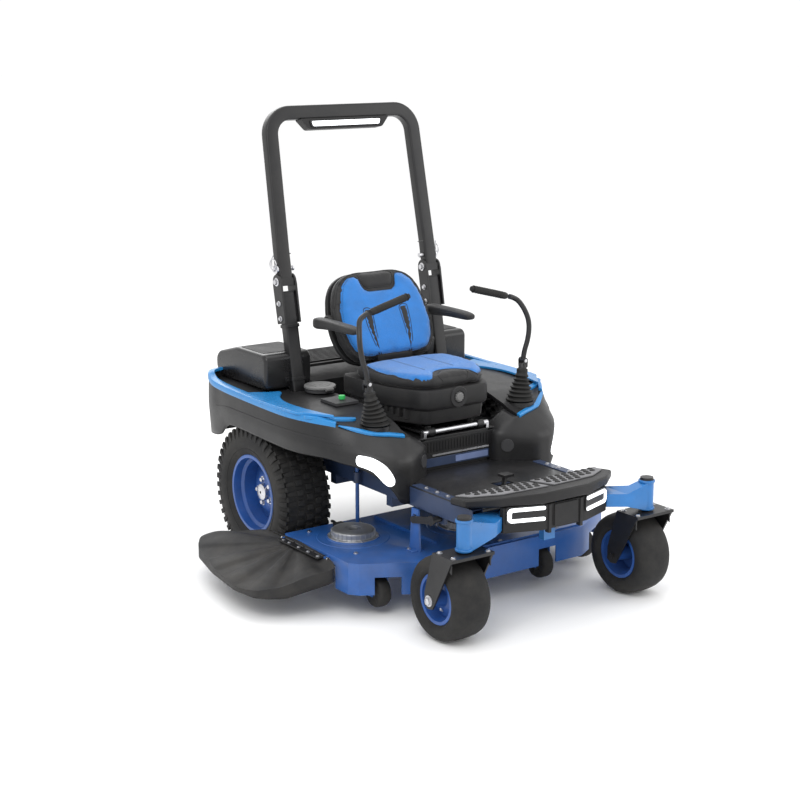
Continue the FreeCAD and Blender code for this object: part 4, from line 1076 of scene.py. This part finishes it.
def boot(side, turn):
    """A boot that bends between the pod and the lever's carrier, with the carrier's collar and ears."""
    axis = LEVER_HINGE - BOOT_FOOT
    rings = []
    profile = [(0.0, 58), (0.02, 60), (0.05, 60), (0.06, 54)]
    for k in range(6):
        base, size = 0.09 + 0.095 * k, 56 - 5.4 * k
        profile += [(base, size - 9), (base + 0.030, size), (base + 0.045, size + 0.5),
                    (base + 0.060, size - 1)]
    profile += [(0.67, 22), (0.72, 24), (0.78, 24), (0.80, 21)]
    side_way = axis.orthogonal().normalized()
    for share, radius in profile:
        lean = min(1.0, share / 0.5)
        centre = BOOT_FOOT + axis * share
        ahead = Vector((0, 0, 1)).lerp(axis.normalized(), lean).normalized()
        u = (side_way - ahead * side_way.dot(ahead)).normalized()
        w = ahead.cross(u)
        rings.append([tuple(centre + (u * math.cos(a) + w * math.sin(a)) * radius) for a in around(40)])
    shape = turn(loft(rings))
    mesh = bpy.data.meshes.new("bellows_" + side)
    mesh.from_pydata([tuple(in_frame(p)) for p in shape[0]], [], shape[1])
    bellows = finished("bellows_" + side, mesh, "boot_rubber", None, levels=1, smooth=60)
    apply_modifiers(bellows)
    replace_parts(bellows, "lever_boot_" + side)
    foot, top = turn(([tuple(BOOT_FOOT), tuple(BOOT_FOOT + axis * 0.6)], []))[0]
    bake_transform(bellows)
    collar = tube([LEVER_HINGE - axis.normalized() * s for s in (58, 40, 22, 14)], 18, 24,
                  [1.0, 1.0, 0.95, 0.75])
    ears = [slab(rounded([(387, 822), (409, 822), (410, 856), (404, 864), (392, 864), (386, 856)], 6), "y",
                 -548 + a, -548 + a + 5)
            for a in (-18.5, 13.5)]
    pin = bolt((398, -567, 852), "y", 5, 4)
    black("carrier_" + side, turn(merged([collar] + ears)), "lever_carrier_" + side, bevel=0.001)
    rod = lathe([(-20, 0.5), (-20, 5), (20, 5), (20, 0.5)], tuple(LEVER_HINGE), "y", 20)
    bright("carrier_pin_" + side, turn(merged([rod, pin])), "lever_carrier_" + side)


# ---------------------------------------------------------------- roll-over hoop

HOOP_LEAN, HOOP_FOOT = math.radians(11.26), Vector((0, 21, 792))
HOOP_UP = Vector((0, math.sin(HOOP_LEAN), math.cos(HOOP_LEAN)))
HOOP_BEHIND = Vector((0, math.cos(HOOP_LEAN), -math.sin(HOOP_LEAN)))
HOOP_X, HOOP_TOP, HOOP_CORNER = 380, 1098, 95
PIVOT_S, LOCK_S = 392, 445
TUBE_WIDE, TUBE_DEEP = 60, 46


def on_hoop(x, s, n=0.0):
    return HOOP_FOOT + Vector((x, 0, 0)) + HOOP_UP * s + HOOP_BEHIND * n


def lean_slab(outline, front, back):
    return loft([[tuple(on_hoop(x, s, n)) for x, s in outline] for n in (front, back)])


def square_tube(path, normals, wide, deep, corner):
    """A rounded rectangular tube: wide across the path in its plane, deep across the plane."""
    section = rounded(rectangle(-wide / 2, wide / 2, -deep / 2, deep / 2), corner, 4)
    return loft([[tuple(on_hoop(p[0] + n[0] * a, p[1] + n[1] * a, b)) for a, b in section] for p,
                 n in zip(path, normals)])


def hoop():
    path, normals = [(HOOP_X, 372), (HOOP_X, 384), (HOOP_X, 500)], [(1, 0)] * 3
    shoulder = HOOP_X - 12
    for step in range(13):
        a = math.pi / 2 * step / 12
        path.append((shoulder - HOOP_CORNER + HOOP_CORNER * math.cos(a), HOOP_TOP - HOOP_CORNER
                     + HOOP_CORNER * math.sin(a)))
        normals.append((math.cos(a), math.sin(a)))
    path += [(-x, s) for x, s in reversed(path)]
    normals += [(-x, s) for x, s in reversed(normals)]
    black("hoop_tube", square_tube(path, normals, TUBE_WIDE, TUBE_DEEP, 9), "hoop", ("rops_hoop",), smooth=40)
    for side, turn in SIDES:
        welds = merged([tube([on_hoop(HOOP_X - 31, 506, -22), on_hoop(HOOP_X - 31, 506, 22)], 2.4, 8)] +
                       [lean_slab(rounded(rectangle(HOOP_X - 33, HOOP_X + 33, 372, 404), 5),
                                  n, n + 4) for n in (-26.5, 22.5)])
        black("hoop_foot_" + side, turn(welds), "hoop", bevel=0.001)
        pin = merged([lathe_lean(HOOP_X - 44, LOCK_S, 8, 94), lathe_lean(HOOP_X + 31, LOCK_S, 19, 10),
                      lathe_lean(HOOP_X - 50, LOCK_S, 11, 7)])
        clip_centre = on_hoop(HOOP_X + 47, LOCK_S + 22)
        clip = tube([clip_centre + HOOP_UP * 22 * math.cos(a) + HOOP_BEHIND * 22 * math.sin(a)
                     + Vector((2 * math.sin(a), 0, 0))
                     for a in [2 * math.pi * k / 32 for k in range(33)]], 2.4, 10)
        tail = tube(smooth_path([on_hoop(HOOP_X + 46, LOCK_S - 2, 0), on_hoop(HOOP_X + 50, LOCK_S + 14, 6),
                                 on_hoop(HOOP_X + 49, LOCK_S + 44, 3),
                                 on_hoop(HOOP_X + 45, LOCK_S + 58, -6)]), 2.2, 8)
        bright("lock_pin_" + side, turn(merged([pin, clip, tail])), "hoop", ("rops_lock_pins",), smooth=40)
        hinge(side, turn)


def lathe_lean(x, s, radius, length, steps=32):
    """A short round bar across the hoop, along X."""
    rings = []
    for offset, r in ((0, radius * 0.9), (1.2, radius), (length - 1.2, radius), (length, radius * 0.9)):
        rings.append([tuple(on_hoop(x + offset, s + r * math.cos(a), r * math.sin(a)))
                      for a in around(steps)])
    return loft(rings)


def hinge(side, turn):
    """A post with its two hinge plates, stiffening webs, a cap, two collars and bolts."""
    section = [(HOOP_X, s) for s in (-186, 0, 344)]
    post = square_tube(section, [(1, 0)] * 3, TUBE_WIDE, TUBE_DEEP, 8)
    plates = []
    for inner in (HOOP_X - 40, HOOP_X + 31):
        outline = [(-32, 214), (32, 214), (34, 380)] + [(32 * math.cos(a), PIVOT_S + 32 * math.sin(a))
                                                        for a in
                                                         [math.pi * k / 12 for k in range(13)]] + [(-34, 380)]
        plates.append(loft([[tuple(on_hoop(x, s, n)) for n, s in outline] for x in (inner, inner + 8.6)]))
    webs = [lean_slab(rectangle(HOOP_X + a, HOOP_X + a + 6, 226, 330), -20, 20)
            for a in (-34, 28)]
    cap = lean_slab(rounded(rectangle(HOOP_X - 29, HOOP_X + 29, 344, 350), 3), -22, 22)
    collar = merged([square_tube([(HOOP_X, s), (HOOP_X, s + 14)], [(1, 0)] * 2, 68, 54, 8)
                     for s in (-30, 196)])
    black("hoop_post_" + side, turn(merged([post] + plates + webs + [cap, collar])), "chassis",
          ("rops_posts",), bevel=0.0015, smooth=35)
    bolts = []
    for s, radius in ((PIVOT_S, 12), (236, 8), (300, 8)):
        for x, sign in ((HOOP_X + 39.6, 1), (HOOP_X - 40, -1)):
            bolts.append(merged([lathe_lean(x if sign > 0 else x - 3, s, radius * 1.5, 3),
                                 hex_lean(x + 3 if sign > 0 else x - 3 - radius * 0.7, s, radius,
                                          radius * 0.7)]))
    shank = lathe_lean(HOOP_X - 50, PIVOT_S, 8, 100)
    bright("hinge_bolts_" + side, turn(merged(bolts + [shank])), "chassis", bevel=0.0005, smooth=35)


def hex_lean(x, s, radius, length):
    return loft([[tuple(on_hoop(x + o, s + radius * math.cos(math.pi * k / 3),
                                radius * math.sin(math.pi * k / 3)))
                  for k in range(6)] for o in (0, length)])


def lamp_bar():
    low, high = HOOP_TOP - 30 - 46, HOOP_TOP - 30
    outline = [(-188, low), (188, low), (230, high + 1), (-230, high + 1)]
    case = lean_slab(rounded(outline, 10), -32, 13)
    bezel = lean_slab(rounded([(-178, low + 8), (178, low + 8), (186, low + 38), (-186, low + 38)], 8), -36,
                      -31)
    piece("lamp_case", merged([case, bezel]), "plain_plastic", "hoop", "steel_black", ("light_bar",),
          bevel=0.002, smooth=35)
    lens = rounded([(-170, low + 12), (170, low + 12), (177, low + 34), (-177, low + 34)], 7)
    piece("lamp_lens", lean_slab(lens, -39.5, -35), "lamp", "hoop", "lens_white", ("light_bar_lens",),
          bevel=0.002, smooth=35)
    brackets = merged([lean_slab(rectangle(x - 14, x + 14, high - 4, high + 22), 22, 26)
                       for x in (-150, 150)])
    black("lamp_brackets", brackets, "hoop", bevel=0.001)


# ---------------------------------------------------------------- mower deck

DECK_TOP = 222
ROD_Z, ROLLER_Z, BLADE_REACH, BLADE_Z = 206, 90, 186, 128
SPINDLES = {"right": (-452, -520), "centre": (0, -655), "left": (452, -520)}
HANGERS = ((-346, -800), (346, -800), (-350, -400), (350, -400))
ROLLERS = {"outer_right": (-525, -800), "inner_right": (-212, -900), "inner_left": (212, -900),
           "outer_left": (525, -800)}


def deck():
    """The welded deck with its motor wells, stiffeners, fixings, motors and blades."""
    # The deck shell, wells and ribs take the darker copy of the blue paint: painted shade for the shade under
    # the frame.
    refined("deck_shell", "deck_paint", 0.004)
    wells = []
    for x, y in SPINDLES.values():
        wells.append(lathe([(0, 150), (0, 112), (5, 108), (8, 104), (8, 90), (5, 90), (3, 100), (3, 146)],
                           (x, y, DECK_TOP - 1), "z", 64))
    piece("deck_wells", merged(wells), "deck_paint", "deck", "painted_blue", bevel=0.001, smooth=35)
    stiff = [slab(rounded([(xa - 7, ya), (xa + 7, ya), (xb + 7, yb), (xb - 7, yb)], 3), "z", DECK_TOP - 2,
                  DECK_TOP + 12)
             for xa, ya, xb, yb in ((-232, -360, -232, -780), (232, -360, 232, -780))]
    edge = [slab(rectangle(-400, 400, -931, -919), "z", DECK_TOP - 2, DECK_TOP + 7)]
    strap = [slab(rounded(rectangle(x - 30, x + 30, y - 24, y + 24), 8), "z", DECK_TOP - 1, DECK_TOP + 5)
             for x, y in HANGERS]
    piece("deck_ribs", merged(stiff + edge + strap), "deck_paint", "deck", "painted_blue", bevel=0.002,
          smooth=35)
    hardware = []
    for x, y in SPINDLES.values():
        for k in range(6):
            a = math.pi / 3 * k + 0.3
            hardware.append(bolt((x + 97 * math.cos(a), y + 97 * math.sin(a), DECK_TOP + 7), "z", 6, 6))
    for x, y in HANGERS:
        hardware += [bolt((x + dx, y + 15, DECK_TOP + 5), "z", 6, 6) for dx in (-20, 20)]
    for x, y in ((-560, -360), (-560, -700), (560, -360), (560, -700), (-300, -890), (0, -900), (300, -890)):
        hardware.append(bolt((x, y, DECK_TOP), "z", 7, 6))
    bright("deck_hardware", merged(hardware), "deck", smooth=30)
    for name, (x, y) in SPINDLES.items():
        profile = [(0, 20), (0, 102), (2, 103), (9, 103), (10, 101), (10, 90), (12, 88), (32, 88), (37, 83),
                   (38, 78), (38, 34), (36, 32),
                   (36, 20)]
        fins = [loft([[(x + r * math.cos(a + w), y + r * math.sin(a + w), DECK_TOP + z) for r, w in
                       ((80, -0.02), (90.5, -0.02), (90.5, 0.02), (80, 0.02))] for z in (12, 33)]) for a in
                around(28)]
        cover = merged([lathe(profile, (x, y, DECK_TOP), "z", 72)] + fins)
        made = piece("motor_" + name, cover, "cast", "deck", "motor_metal", bevel=0.001, smooth=35)
        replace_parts(made, "deck_motors")
        plug = merged([slab(rounded(rectangle(x - 22, x + 22, y + 74, y + 118), 6), "z", DECK_TOP + 9,
                            DECK_TOP + 34),
                       tube(smooth_path([(x, y + 116, DECK_TOP + 22), (x + 6, y + 150, DECK_TOP + 24),
                                         (x + 22, y + 190, DECK_TOP + 14)]), 6, 12)])
        piece("motor_plug_" + name, plug, "plain_plastic", "deck", "body_black", bevel=0.002, smooth=40)
        blade(name, x, y)


def blade(name, x, y):
    """A mulching blade: twisted lift wings behind ground cutting edges, on its spindle with a nut."""
    rings = []
    for k in range(25):
        a = -BLADE_REACH + 2 * BLADE_REACH * k / 24
        tip = abs(a) / BLADE_REACH
        lift = 11 * max(0, tip - 0.62) / 0.38
        turn = math.copysign(1, a)
        section = [(-29, 0), (-20, -1.5), (26, -2), (29, 0.2), (26, 4), (8, 4), (-18, 4 + lift),
                   (-27, 5 + lift * 1.3)]
        rings.append([(x + a, y + turn * p, BLADE_Z + q) for p, q in section])
    shaft = lathe([(0, 0.5), (0, 20), (14, 20), (15, 12.5), (120, 12.5), (120, 0.5)], (x, y, 112), "z", 36)
    nut = lathe([(0, 16), (8, 16)], (x, y, 109), "z", 6, closed=False)
    bright("cutter_" + name, merged([loft(rings), shaft, nut]), "blade_" + name, ("blade_" + name,),
          bevel=0.0008, smooth=35)


def rollers():
    for name, (x, y) in ROLLERS.items():
        profile = [(-30, 8.2), (-30, 22), (-26, 26), (-27, 48), (-24, 56), (-18, 60.5), (-8, 62), (8, 62),
                   (18, 60.5), (24, 56), (27, 48),
                   (26, 26), (30, 22), (30, 8.2)]
        piece("wheel_" + name, lathe(profile, (x, y, ROLLER_Z), "x", 64), "rubber", "roller_" + name,
              "roller",
              ("roller_" + name,),
              smooth=40)
        spokes = merged([loft([[(x + s * 27.5, y + r * math.cos(a + w), 90 + r * math.sin(a + w)) for r, w in
                                ((24, -0.12), (46, -0.07), (46, 0.07), (24, 0.12))] for s in (-1.0, 1.0)])
                                for a in
                         around(8)])
        piece("spokes_" + name, spokes, "plain_plastic", "roller_" + name, "roller", bevel=0.001)
        axle = merged([lathe([(-42, 0.5), (-42, 8), (42, 8), (42, 0.5)], (x, y, ROLLER_Z), "x", 24),
                       bolt((x + 38, y, 90), "x", 9, 8),
                       lathe([(-46, 0.5), (-46, 11), (-38.5, 11), (-38.5, 0.5)], (x, y, ROLLER_Z), "x", 6)])
        bright("roller_bolt_" + name, axle, "deck", ("deck_pins",), smooth=30)
    rod = lathe([(0, 0.5), (0, 5), (335, 5), (335, 0.5)], (CHUTE_EDGE, -660, ROD_Z), "y", 20)
    heads = merged([lathe([(a, 0.5), (a, 9), (a + 4, 9), (a + 4, 0.5)], (CHUTE_EDGE, -660, ROD_Z), "y", 20)
                    for a in (-3, 333)])
    bright("chute_rod", merged([rod, heads]), "deck", smooth=35)


# ---------------------------------------------------------------- discharge chute

CHUTE_PLAN = [(-664, -335), (-664, -696), (-690, -752), (-900, -660), (-960, -608), (-981, -480),
              (-952, -252), (-898, -35),
              (-850, 31), (-792, 8), (-664, -195)]
CHUTE_EDGE, CHUTE_HUB, CHUTE_FOLDS, FOLD_RISE = -664, Vector((-650, -420)), 11, 5.5
CHUTE_TOP, CHUTE_FALL = 211, math.tan(math.radians(17))


def chute_height(x):
    return CHUTE_TOP - (CHUTE_EDGE - x) * CHUTE_FALL


def chute():
    """A sloping rubberised deflector, pressed into radial folds, with a turned-down lip."""
    loop = rounded(CHUTE_PLAN, 26, 4)
    hub = CHUTE_HUB
    grid, count = [], len(loop)
    fine = []
    for i in range(count):
        a, b = Vector(loop[i]), Vector(loop[(i + 1) % count])
        parts = max(1, int((b - a).length / 14))
        fine += [a.lerp(b, k / parts) for k in range(parts)]
    for share in (0.06, 0.2, 0.34, 0.48, 0.62, 0.76, 0.88, 0.96, 1.0):
        row = []
        for p in fine:
            q = hub + (p - hub) * share
            angle = math.atan2(q.y - hub.y, -(q.x - hub.x))
            wave = math.cos(angle * CHUTE_FOLDS)
            fold = FOLD_RISE * math.copysign(abs(wave) ** 0.45, wave) * min(1, share * 1.6) * (1
                    if share < 0.97 else 0.5)
            fold *= max(0.0, min(1.0, (-676 - q.x) / 40))
            row.append((q.x, q.y, chute_height(q.x) + fold - 1))
        grid.append(row)
    lip = []
    for drop in (8, 30, 58):
        lip.append([(p.x, p.y, max(92, chute_height(p.x) - drop)) for p in fine])
    points = [p for r in grid for p in r]
    faces = grid_faces(len(grid), len(fine))
    middle = (hub.x, hub.y, chute_height(hub.x) - 1)
    points.append(middle)
    faces += [[len(points) - 1, (k + 1) % len(fine), k] for k in range(len(fine))]
    start = (len(grid) - 1) * len(fine)
    lip_faces = []
    base = len(points)
    for row in lip:
        points += row
    for r in range(len(lip)):
        above = start if r == 0 else base + (r - 1) * len(fine)
        here = base + r * len(fine)
        for k in range(len(fine)):
            n = (k + 1) % len(fine)
            p, q = fine[k], fine[n]
            if min(p.x, q.x) > -680 or (p.y > -330 and p.x > -870):
                continue
            lip_faces.append([above + k, above + n, here + n, here + k])
    piece("chute_flap", (points, faces + lip_faces), "chute_plastic", "chute", "chute_black",
          ("discharge_chute",), smooth=28,
          solid=0.005)
    knuckles = merged([lathe([(a, 5.1), (a, 10), (a + 60, 10), (a + 60, 5.1)], (CHUTE_EDGE, 0, ROD_Z), "y",
                             28)
                       for a in (-632, -560, -488, -416)])
    strap = slab(rounded(rectangle(-700, -662, -640, -346), 6), "z", 208, 213)
    black("chute_hinge", merged([knuckles, strap]), "chute", bevel=0.001, smooth=35)
    rivets = merged([bolt((-686, y, 213), "z", 6, 4) for y in (-620, -550, -480, -410, -366)])
    bright("chute_rivets", rivets, "chute", smooth=30)


# ---------------------------------------------------------------- front end

FORK_TUBE_Y = -1252
PAD_PLAN = [(14, -1060), (14, -1205), (225, -1190), (330, -1125), (350, -1060)]
LAMP_OUTLINE = [(104, 426), (236, 426), (246, 436), (246, 472), (236, 482), (104, 482), (104, 468),
                (228, 468), (232, 464),
                (232, 444), (228, 440), (104, 440)]


def lamp_face(x):
    """The y of the bumper's lamp faces, which sweep back towards the sides."""
    return -1297 + (x - 104) * 48 / 140


def front_end():
    dots = []
    for row, y in enumerate((-1082, -1116, -1150, -1182)):
        for k in range(10):
            x = 34 + 34 * k + 17 * (row % 2)
            if inside((x, y), PAD_PLAN) and edge_distance((x, y), PAD_PLAN) > 13:
                z = 506 + (-1040 - y) * 0.125
                dots.append(lathe([(-2, 11.5), (1.5, 11.5), (3.6, 9.6), (4.6, 6.5), (5.0, 2)], (x, y, z), "z",
                                  20, closed=False))
    piece("platform_dots", both(merged(dots)), "plain_plastic", "chassis", "tread_pad", smooth=50)
    lens = loft([[(x, lamp_face(x) + c, z) for x, z in rounded(LAMP_OUTLINE, 10)] for c in (0, 7)])
    for side, turn in SIDES:
        piece("bumper_lamp_" + side, turn(lens), "lamp", "chassis", "lens_white", ("front_lights",),
              bevel=0.0015, smooth=35)
        bezel = rectangle(98, 252, 420, 488)
        piece("lamp_bezel_" + side,
              turn(loft([[(x, lamp_face(x) + c, z) for x, z in rounded(bezel, 14)] for c in (4.5, 12)])),
              "pod_plastic", "chassis", "body_black", bevel=0.0015)
        fork, x, y = "fork_" + side, CASTER_X, CASTER_Y
        hardware = [bolt((x + 98, y, 165), "x", 15, 12)]
        hardware += [bolt((x + dx, dy, 357), "z", 8, 7) for dx in (-80, 80) for dy in (-1292, -1210)]
        bright("fork_hardware_" + side, turn(merged(hardware)), fork, smooth=30)
        weld = tube([(x - 92, -1252 + 60, 344), (x - 92, -1310 + 6, 344)], 3, 8)
        gusset = [slab([(-1296, 344), (-1296, 300), (-1250, 344)], "x", x + s * 90 - 3, x + s * 90 + 3)
                  for s in (-1, 1)]
        black("fork_gussets_" + side, turn(merged([weld] + gusset)), fork, bevel=0.001)
        ring = [lathe([(0, 29), (0, 32), (2, 33.5), (8, 33.5), (10, 32), (10, 29)], (x, FORK_TUBE_Y, z), "z",
                      48)
                for z in (363, 473)]
        piece("tube_rings_" + side, turn(merged(ring)), "blue_paint", "chassis", "painted_blue", bevel=0.0008,
              smooth=40)
        seal = lathe([(0, 15), (0, 28), (3, 28.5), (5, 27), (5, 15)], (x, FORK_TUBE_Y, 482), "z", 48)
        piece("tube_seal_" + side, turn(seal), "boot_rubber", "chassis", "steel_black", smooth=40)
        cap = slab(rounded(rectangle(288, 328, -1046, -752), 4), "z", 469.5, 473.5)
        piece("rail_cap_" + side, turn(cap), "frame_blue", "chassis", "painted_blue", bevel=0.001)
        studs = [bolt((308, y, 473), "z", 7, 6) for y in (-1030, -960, -890, -820)]
        bright("rail_bolts_" + side, turn(merged(studs)), "chassis", smooth=30)


def console_front():
    """The panel below the seat's front edge: a plain two-tone plate, a bright rail and round fixings."""
    skin = rectangle(-250, 250, 478, 596)
    piece("console_panel", slab(rounded(skin, 14), "y", -616, -610), "plain_plastic", "chassis", "body_black",
          bevel=0.002)
    plate = rectangle(-166, 162, 484, 520)
    piece("console_plate", slab(rounded(plate, 5), "y", -619, -615), "frame_blue", "chassis", "painted_blue",
          bevel=0.001)
    patch = rectangle(-12, 156, 490, 515)
    piece("console_patch", slab(rounded(patch, 4), "y", -620.5, -618), "pale_blue", "chassis", "painted_blue",
          bevel=0.0005)
    strip = slab(rounded(rectangle(-130, 162, 528, 535), 3), "y", -620, -615)
    studs = [bolt((x, -616, z), "y", 6, -5) for x in (-236, 236) for z in (492, 582)]
    bright("console_studs", merged([strip] + studs), "chassis", smooth=30)
    vents = [slab(rounded(rectangle(x, x + 5, 546, 588), 2), "y", -619, -615) for x in range(-150, 151, 15)]
    piece("console_vents", merged(vents), "plain_plastic", "chassis", "body_black", bevel=0.0005)


# ---------------------------------------------------------------- rear bodywork

BOX_PROFILE = [(15, 733), (15, 868), (32, 885), (262, 885), (420, 842), (441, 815), (441, 760), (402, 733)]


def soft_box(x0, x1, profile, corner, ease=16):
    """A closed moulding along x whose end faces are rounded over."""
    loop = rounded(profile, corner, 6)
    middle = Vector((sum(p[0] for p in loop) / len(loop), sum(p[1] for p in loop) / len(loop)))
    turns = [math.pi / 2 * k / 8 for k in range(9)]
    shape = [(x0 + ease * (1 - math.cos(a)), ease * (1 - math.sin(a))) for a in turns]
    shape += [(x0 + x1 - x, draw) for x, draw in reversed(shape)]
    made = []
    for x, draw in shape:
        ring = []
        for p in loop:
            way = Vector(p) - middle
            size = max(abs(way.x) / 213, abs(way.y) / 76, 0.01)
            ring.append((x, p[0] - way.x / 213 * draw / max(size, 0.6),
                         p[1] - way.y / 76 * draw / max(size, 0.6)))
        made.append(ring)
    return loft(made)


def rear_bodywork():
    for side, turn in SIDES:
        piece("rear_box_" + side, turn(soft_box(302, 530, BOX_PROFILE, 20)), "gloss_plastic", "chassis",
              "body_black",
              ("rear_boxes",), smooth=60)
        lid = slab(rounded(rectangle(318, 514, 60, 250), 18), "z", 884, 887)
        piece("rear_lid_" + side, turn(lid), "plain_plastic", "chassis", "body_black", bevel=0.0015)
        latch = merged([slab(rounded(rectangle(396, 436, 760, 782), 5), "y", 10, 16),
                        slab(rounded(rectangle(404, 428, 765, 771), 2), "y", 7, 11)])
        piece("rear_latch_" + side, turn(latch), "black_steel", "chassis", "body_black", bevel=0.001)
    louvres = [slab([(412, 536 + 22 * k), (420.5, 530 + 22 * k), (420.5, 534 + 22 * k), (412, 542 + 22 * k)],
                    "x", -192, 192)
               for k in range(7)]
    frame_bars = [block(-200, 200, 414, 420, z, z + 8)
                  for z in (520, 676)] + [block(x, x + 8, 414, 420, 520, 684) for x in (-200, 192)]
    piece("rear_louvres", merged(louvres + frame_bars), "plain_plastic", "chassis", "body_black", bevel=0.001)


def charge_port():
    """The round lid of the charge port with its raised ring, ribs and hinge."""
    x, y = -322, -80
    profile = [(742, 0.5), (742, 66), (744, 68), (751, 68), (754, 65), (754, 50), (752, 48), (752, 40),
               (754, 38), (754, 0.5)]
    lid = lathe(profile, (x, y, 0), "z", 64)
    ribs = [block(x - 34 + 17 * k, x - 30 + 17 * k, y - 22, y + 22, 753, 755.2) for k in range(5)]
    hinge_arm = slab(rounded(rectangle(x - 16, x + 16, y - 76, y - 54), 3), "z", 742, 750)
    knuckle = lathe([(-18, 0.5), (-18, 7), (18, 7), (18, 0.5)], (x, y - 74, 746), "x", 24)
    piece("charge_lid_shape", merged([lid, hinge_arm, knuckle] + ribs), "lid_grey", "charge_lid",
          "grey_plastic", ("charge_cover",),
          bevel=0.001, smooth=40)


# ---------------------------------------------------------------- camera, light and floor

# The camera and lights, in metres and radians from the machine frame's origin.
EYE, PAN, TILT = (-3.9536, -5.7599, 2.2600), 0.6172, 0.2163
SENSOR, LENS, SHIFT = 36.0, 73.62, (0.0036, -0.0270)
LIGHTS = (("key", (-3.4, -3.0, 4.4), 2.6, 95), ("fill", (3.6, -3.0, 2.6), 3.0, 40),
          ("back", (0.5, 4.0, 3.6), 3.0, 70), ("top", (0.0, -0.4, 4.5), 3.0, 40))
LIGHT_AIM = Vector((0, -0.4, 0.6))
FLOOR_REACH = 60


def studio():
    scene = bpy.context.scene
    ahead = Vector((math.sin(PAN) * math.cos(TILT), math.cos(PAN) * math.cos(TILT), -math.sin(TILT)))
    camera = bpy.data.objects.new("camera", bpy.data.cameras.new("camera"))
    scene.collection.objects.link(camera)
    camera.location = Vector(EYE) + ORIGIN
    camera.rotation_mode = "QUATERNION"
    camera.rotation_quaternion = ahead.to_track_quat("-Z", "Y")
    camera.data.sensor_width, camera.data.lens = SENSOR, LENS
    camera.data.shift_x, camera.data.shift_y = SHIFT
    scene.camera = camera
    world = bpy.data.worlds.new("studio")
    scene.world = world
    world.use_nodes = True
    world.node_tree.nodes["Background"].inputs["Color"].default_value = (1.0, 1.0, 1.0, 1)
    world.node_tree.nodes["Background"].inputs["Strength"].default_value = 1.05
    for name, place, size, power in LIGHTS:
        lamp = bpy.data.objects.new(name, bpy.data.lights.new(name, "AREA"))
        scene.collection.objects.link(lamp)
        lamp.location = Vector(place) + ORIGIN
        lamp.data.size, lamp.data.energy = size, power
        lamp.rotation_mode = "QUATERNION"
        lamp.rotation_quaternion = (ORIGIN + LIGHT_AIM - lamp.location).to_track_quat("-Z", "Y")
    floor_mesh = bpy.data.meshes.new("floor")
    corners = rectangle(-FLOOR_REACH, FLOOR_REACH, -FLOOR_REACH, FLOOR_REACH)
    floor_mesh.from_pydata([(x, y, 0) for x, y in corners], [], [[0, 1, 2, 3]])
    floor = bpy.data.objects.new("floor", floor_mesh)
    scene.collection.objects.link(floor)
    pale = bpy.data.materials.new("pale_floor")
    pale.use_nodes = True
    pale.node_tree.nodes["Principled BSDF"].inputs["Base Color"].default_value = (0.96, 0.96, 0.96, 1)
    pale.node_tree.nodes["Principled BSDF"].inputs["Roughness"].default_value = 0.8
    floor_mesh.materials.append(pale)
    scene.view_settings.view_transform = "Standard"


REFINED = (
    ("main_frame", "frame_blue", 0.003), ("front_axle", "blue_paint", 0.006),
    ("floor_pan", "black_steel", 0.001), ("rear_grille", "plain_plastic", 0.002),
    ("battery_housing", "plain_plastic", 0.010), ("battery_packs", "battery", 0.008),
    ("drive_motors", "cast", 0.004), ("seat_console", "black_steel", 0.002),
    ("pivot_pins", "zinc", 0.0015), ("hitch_bracket", "black_steel", 0.002),
    ("control_fittings", "grey_plastic", 0.002), ("pto_knob", "green_plastic", 0.002),
    ("seat_plate", "black_steel", 0.002), ("lift_shaft", "black_steel", 0.002),
    ("pod_tops", "pod_plastic", 0.004), ("foot_platform", "plain_plastic", 0.010),
    ("tread_pads", "tread", 0.002), ("front_bumper", "plain_plastic", 0.005),
    ("caster_fork_left", "black_steel", 0.003), ("caster_fork_right", "black_steel", 0.003))

studio()
for cad_name, look, bevel in REFINED:
    refined(cad_name, look, bevel)
side_pods()
wheels()
seat_back()
seat_base_pad()
seat_housing()
armrests()
levers()
hoop()
lamp_bar()
deck()
rollers()
chute()
front_end()
console_front()
rear_bodywork()
charge_port()
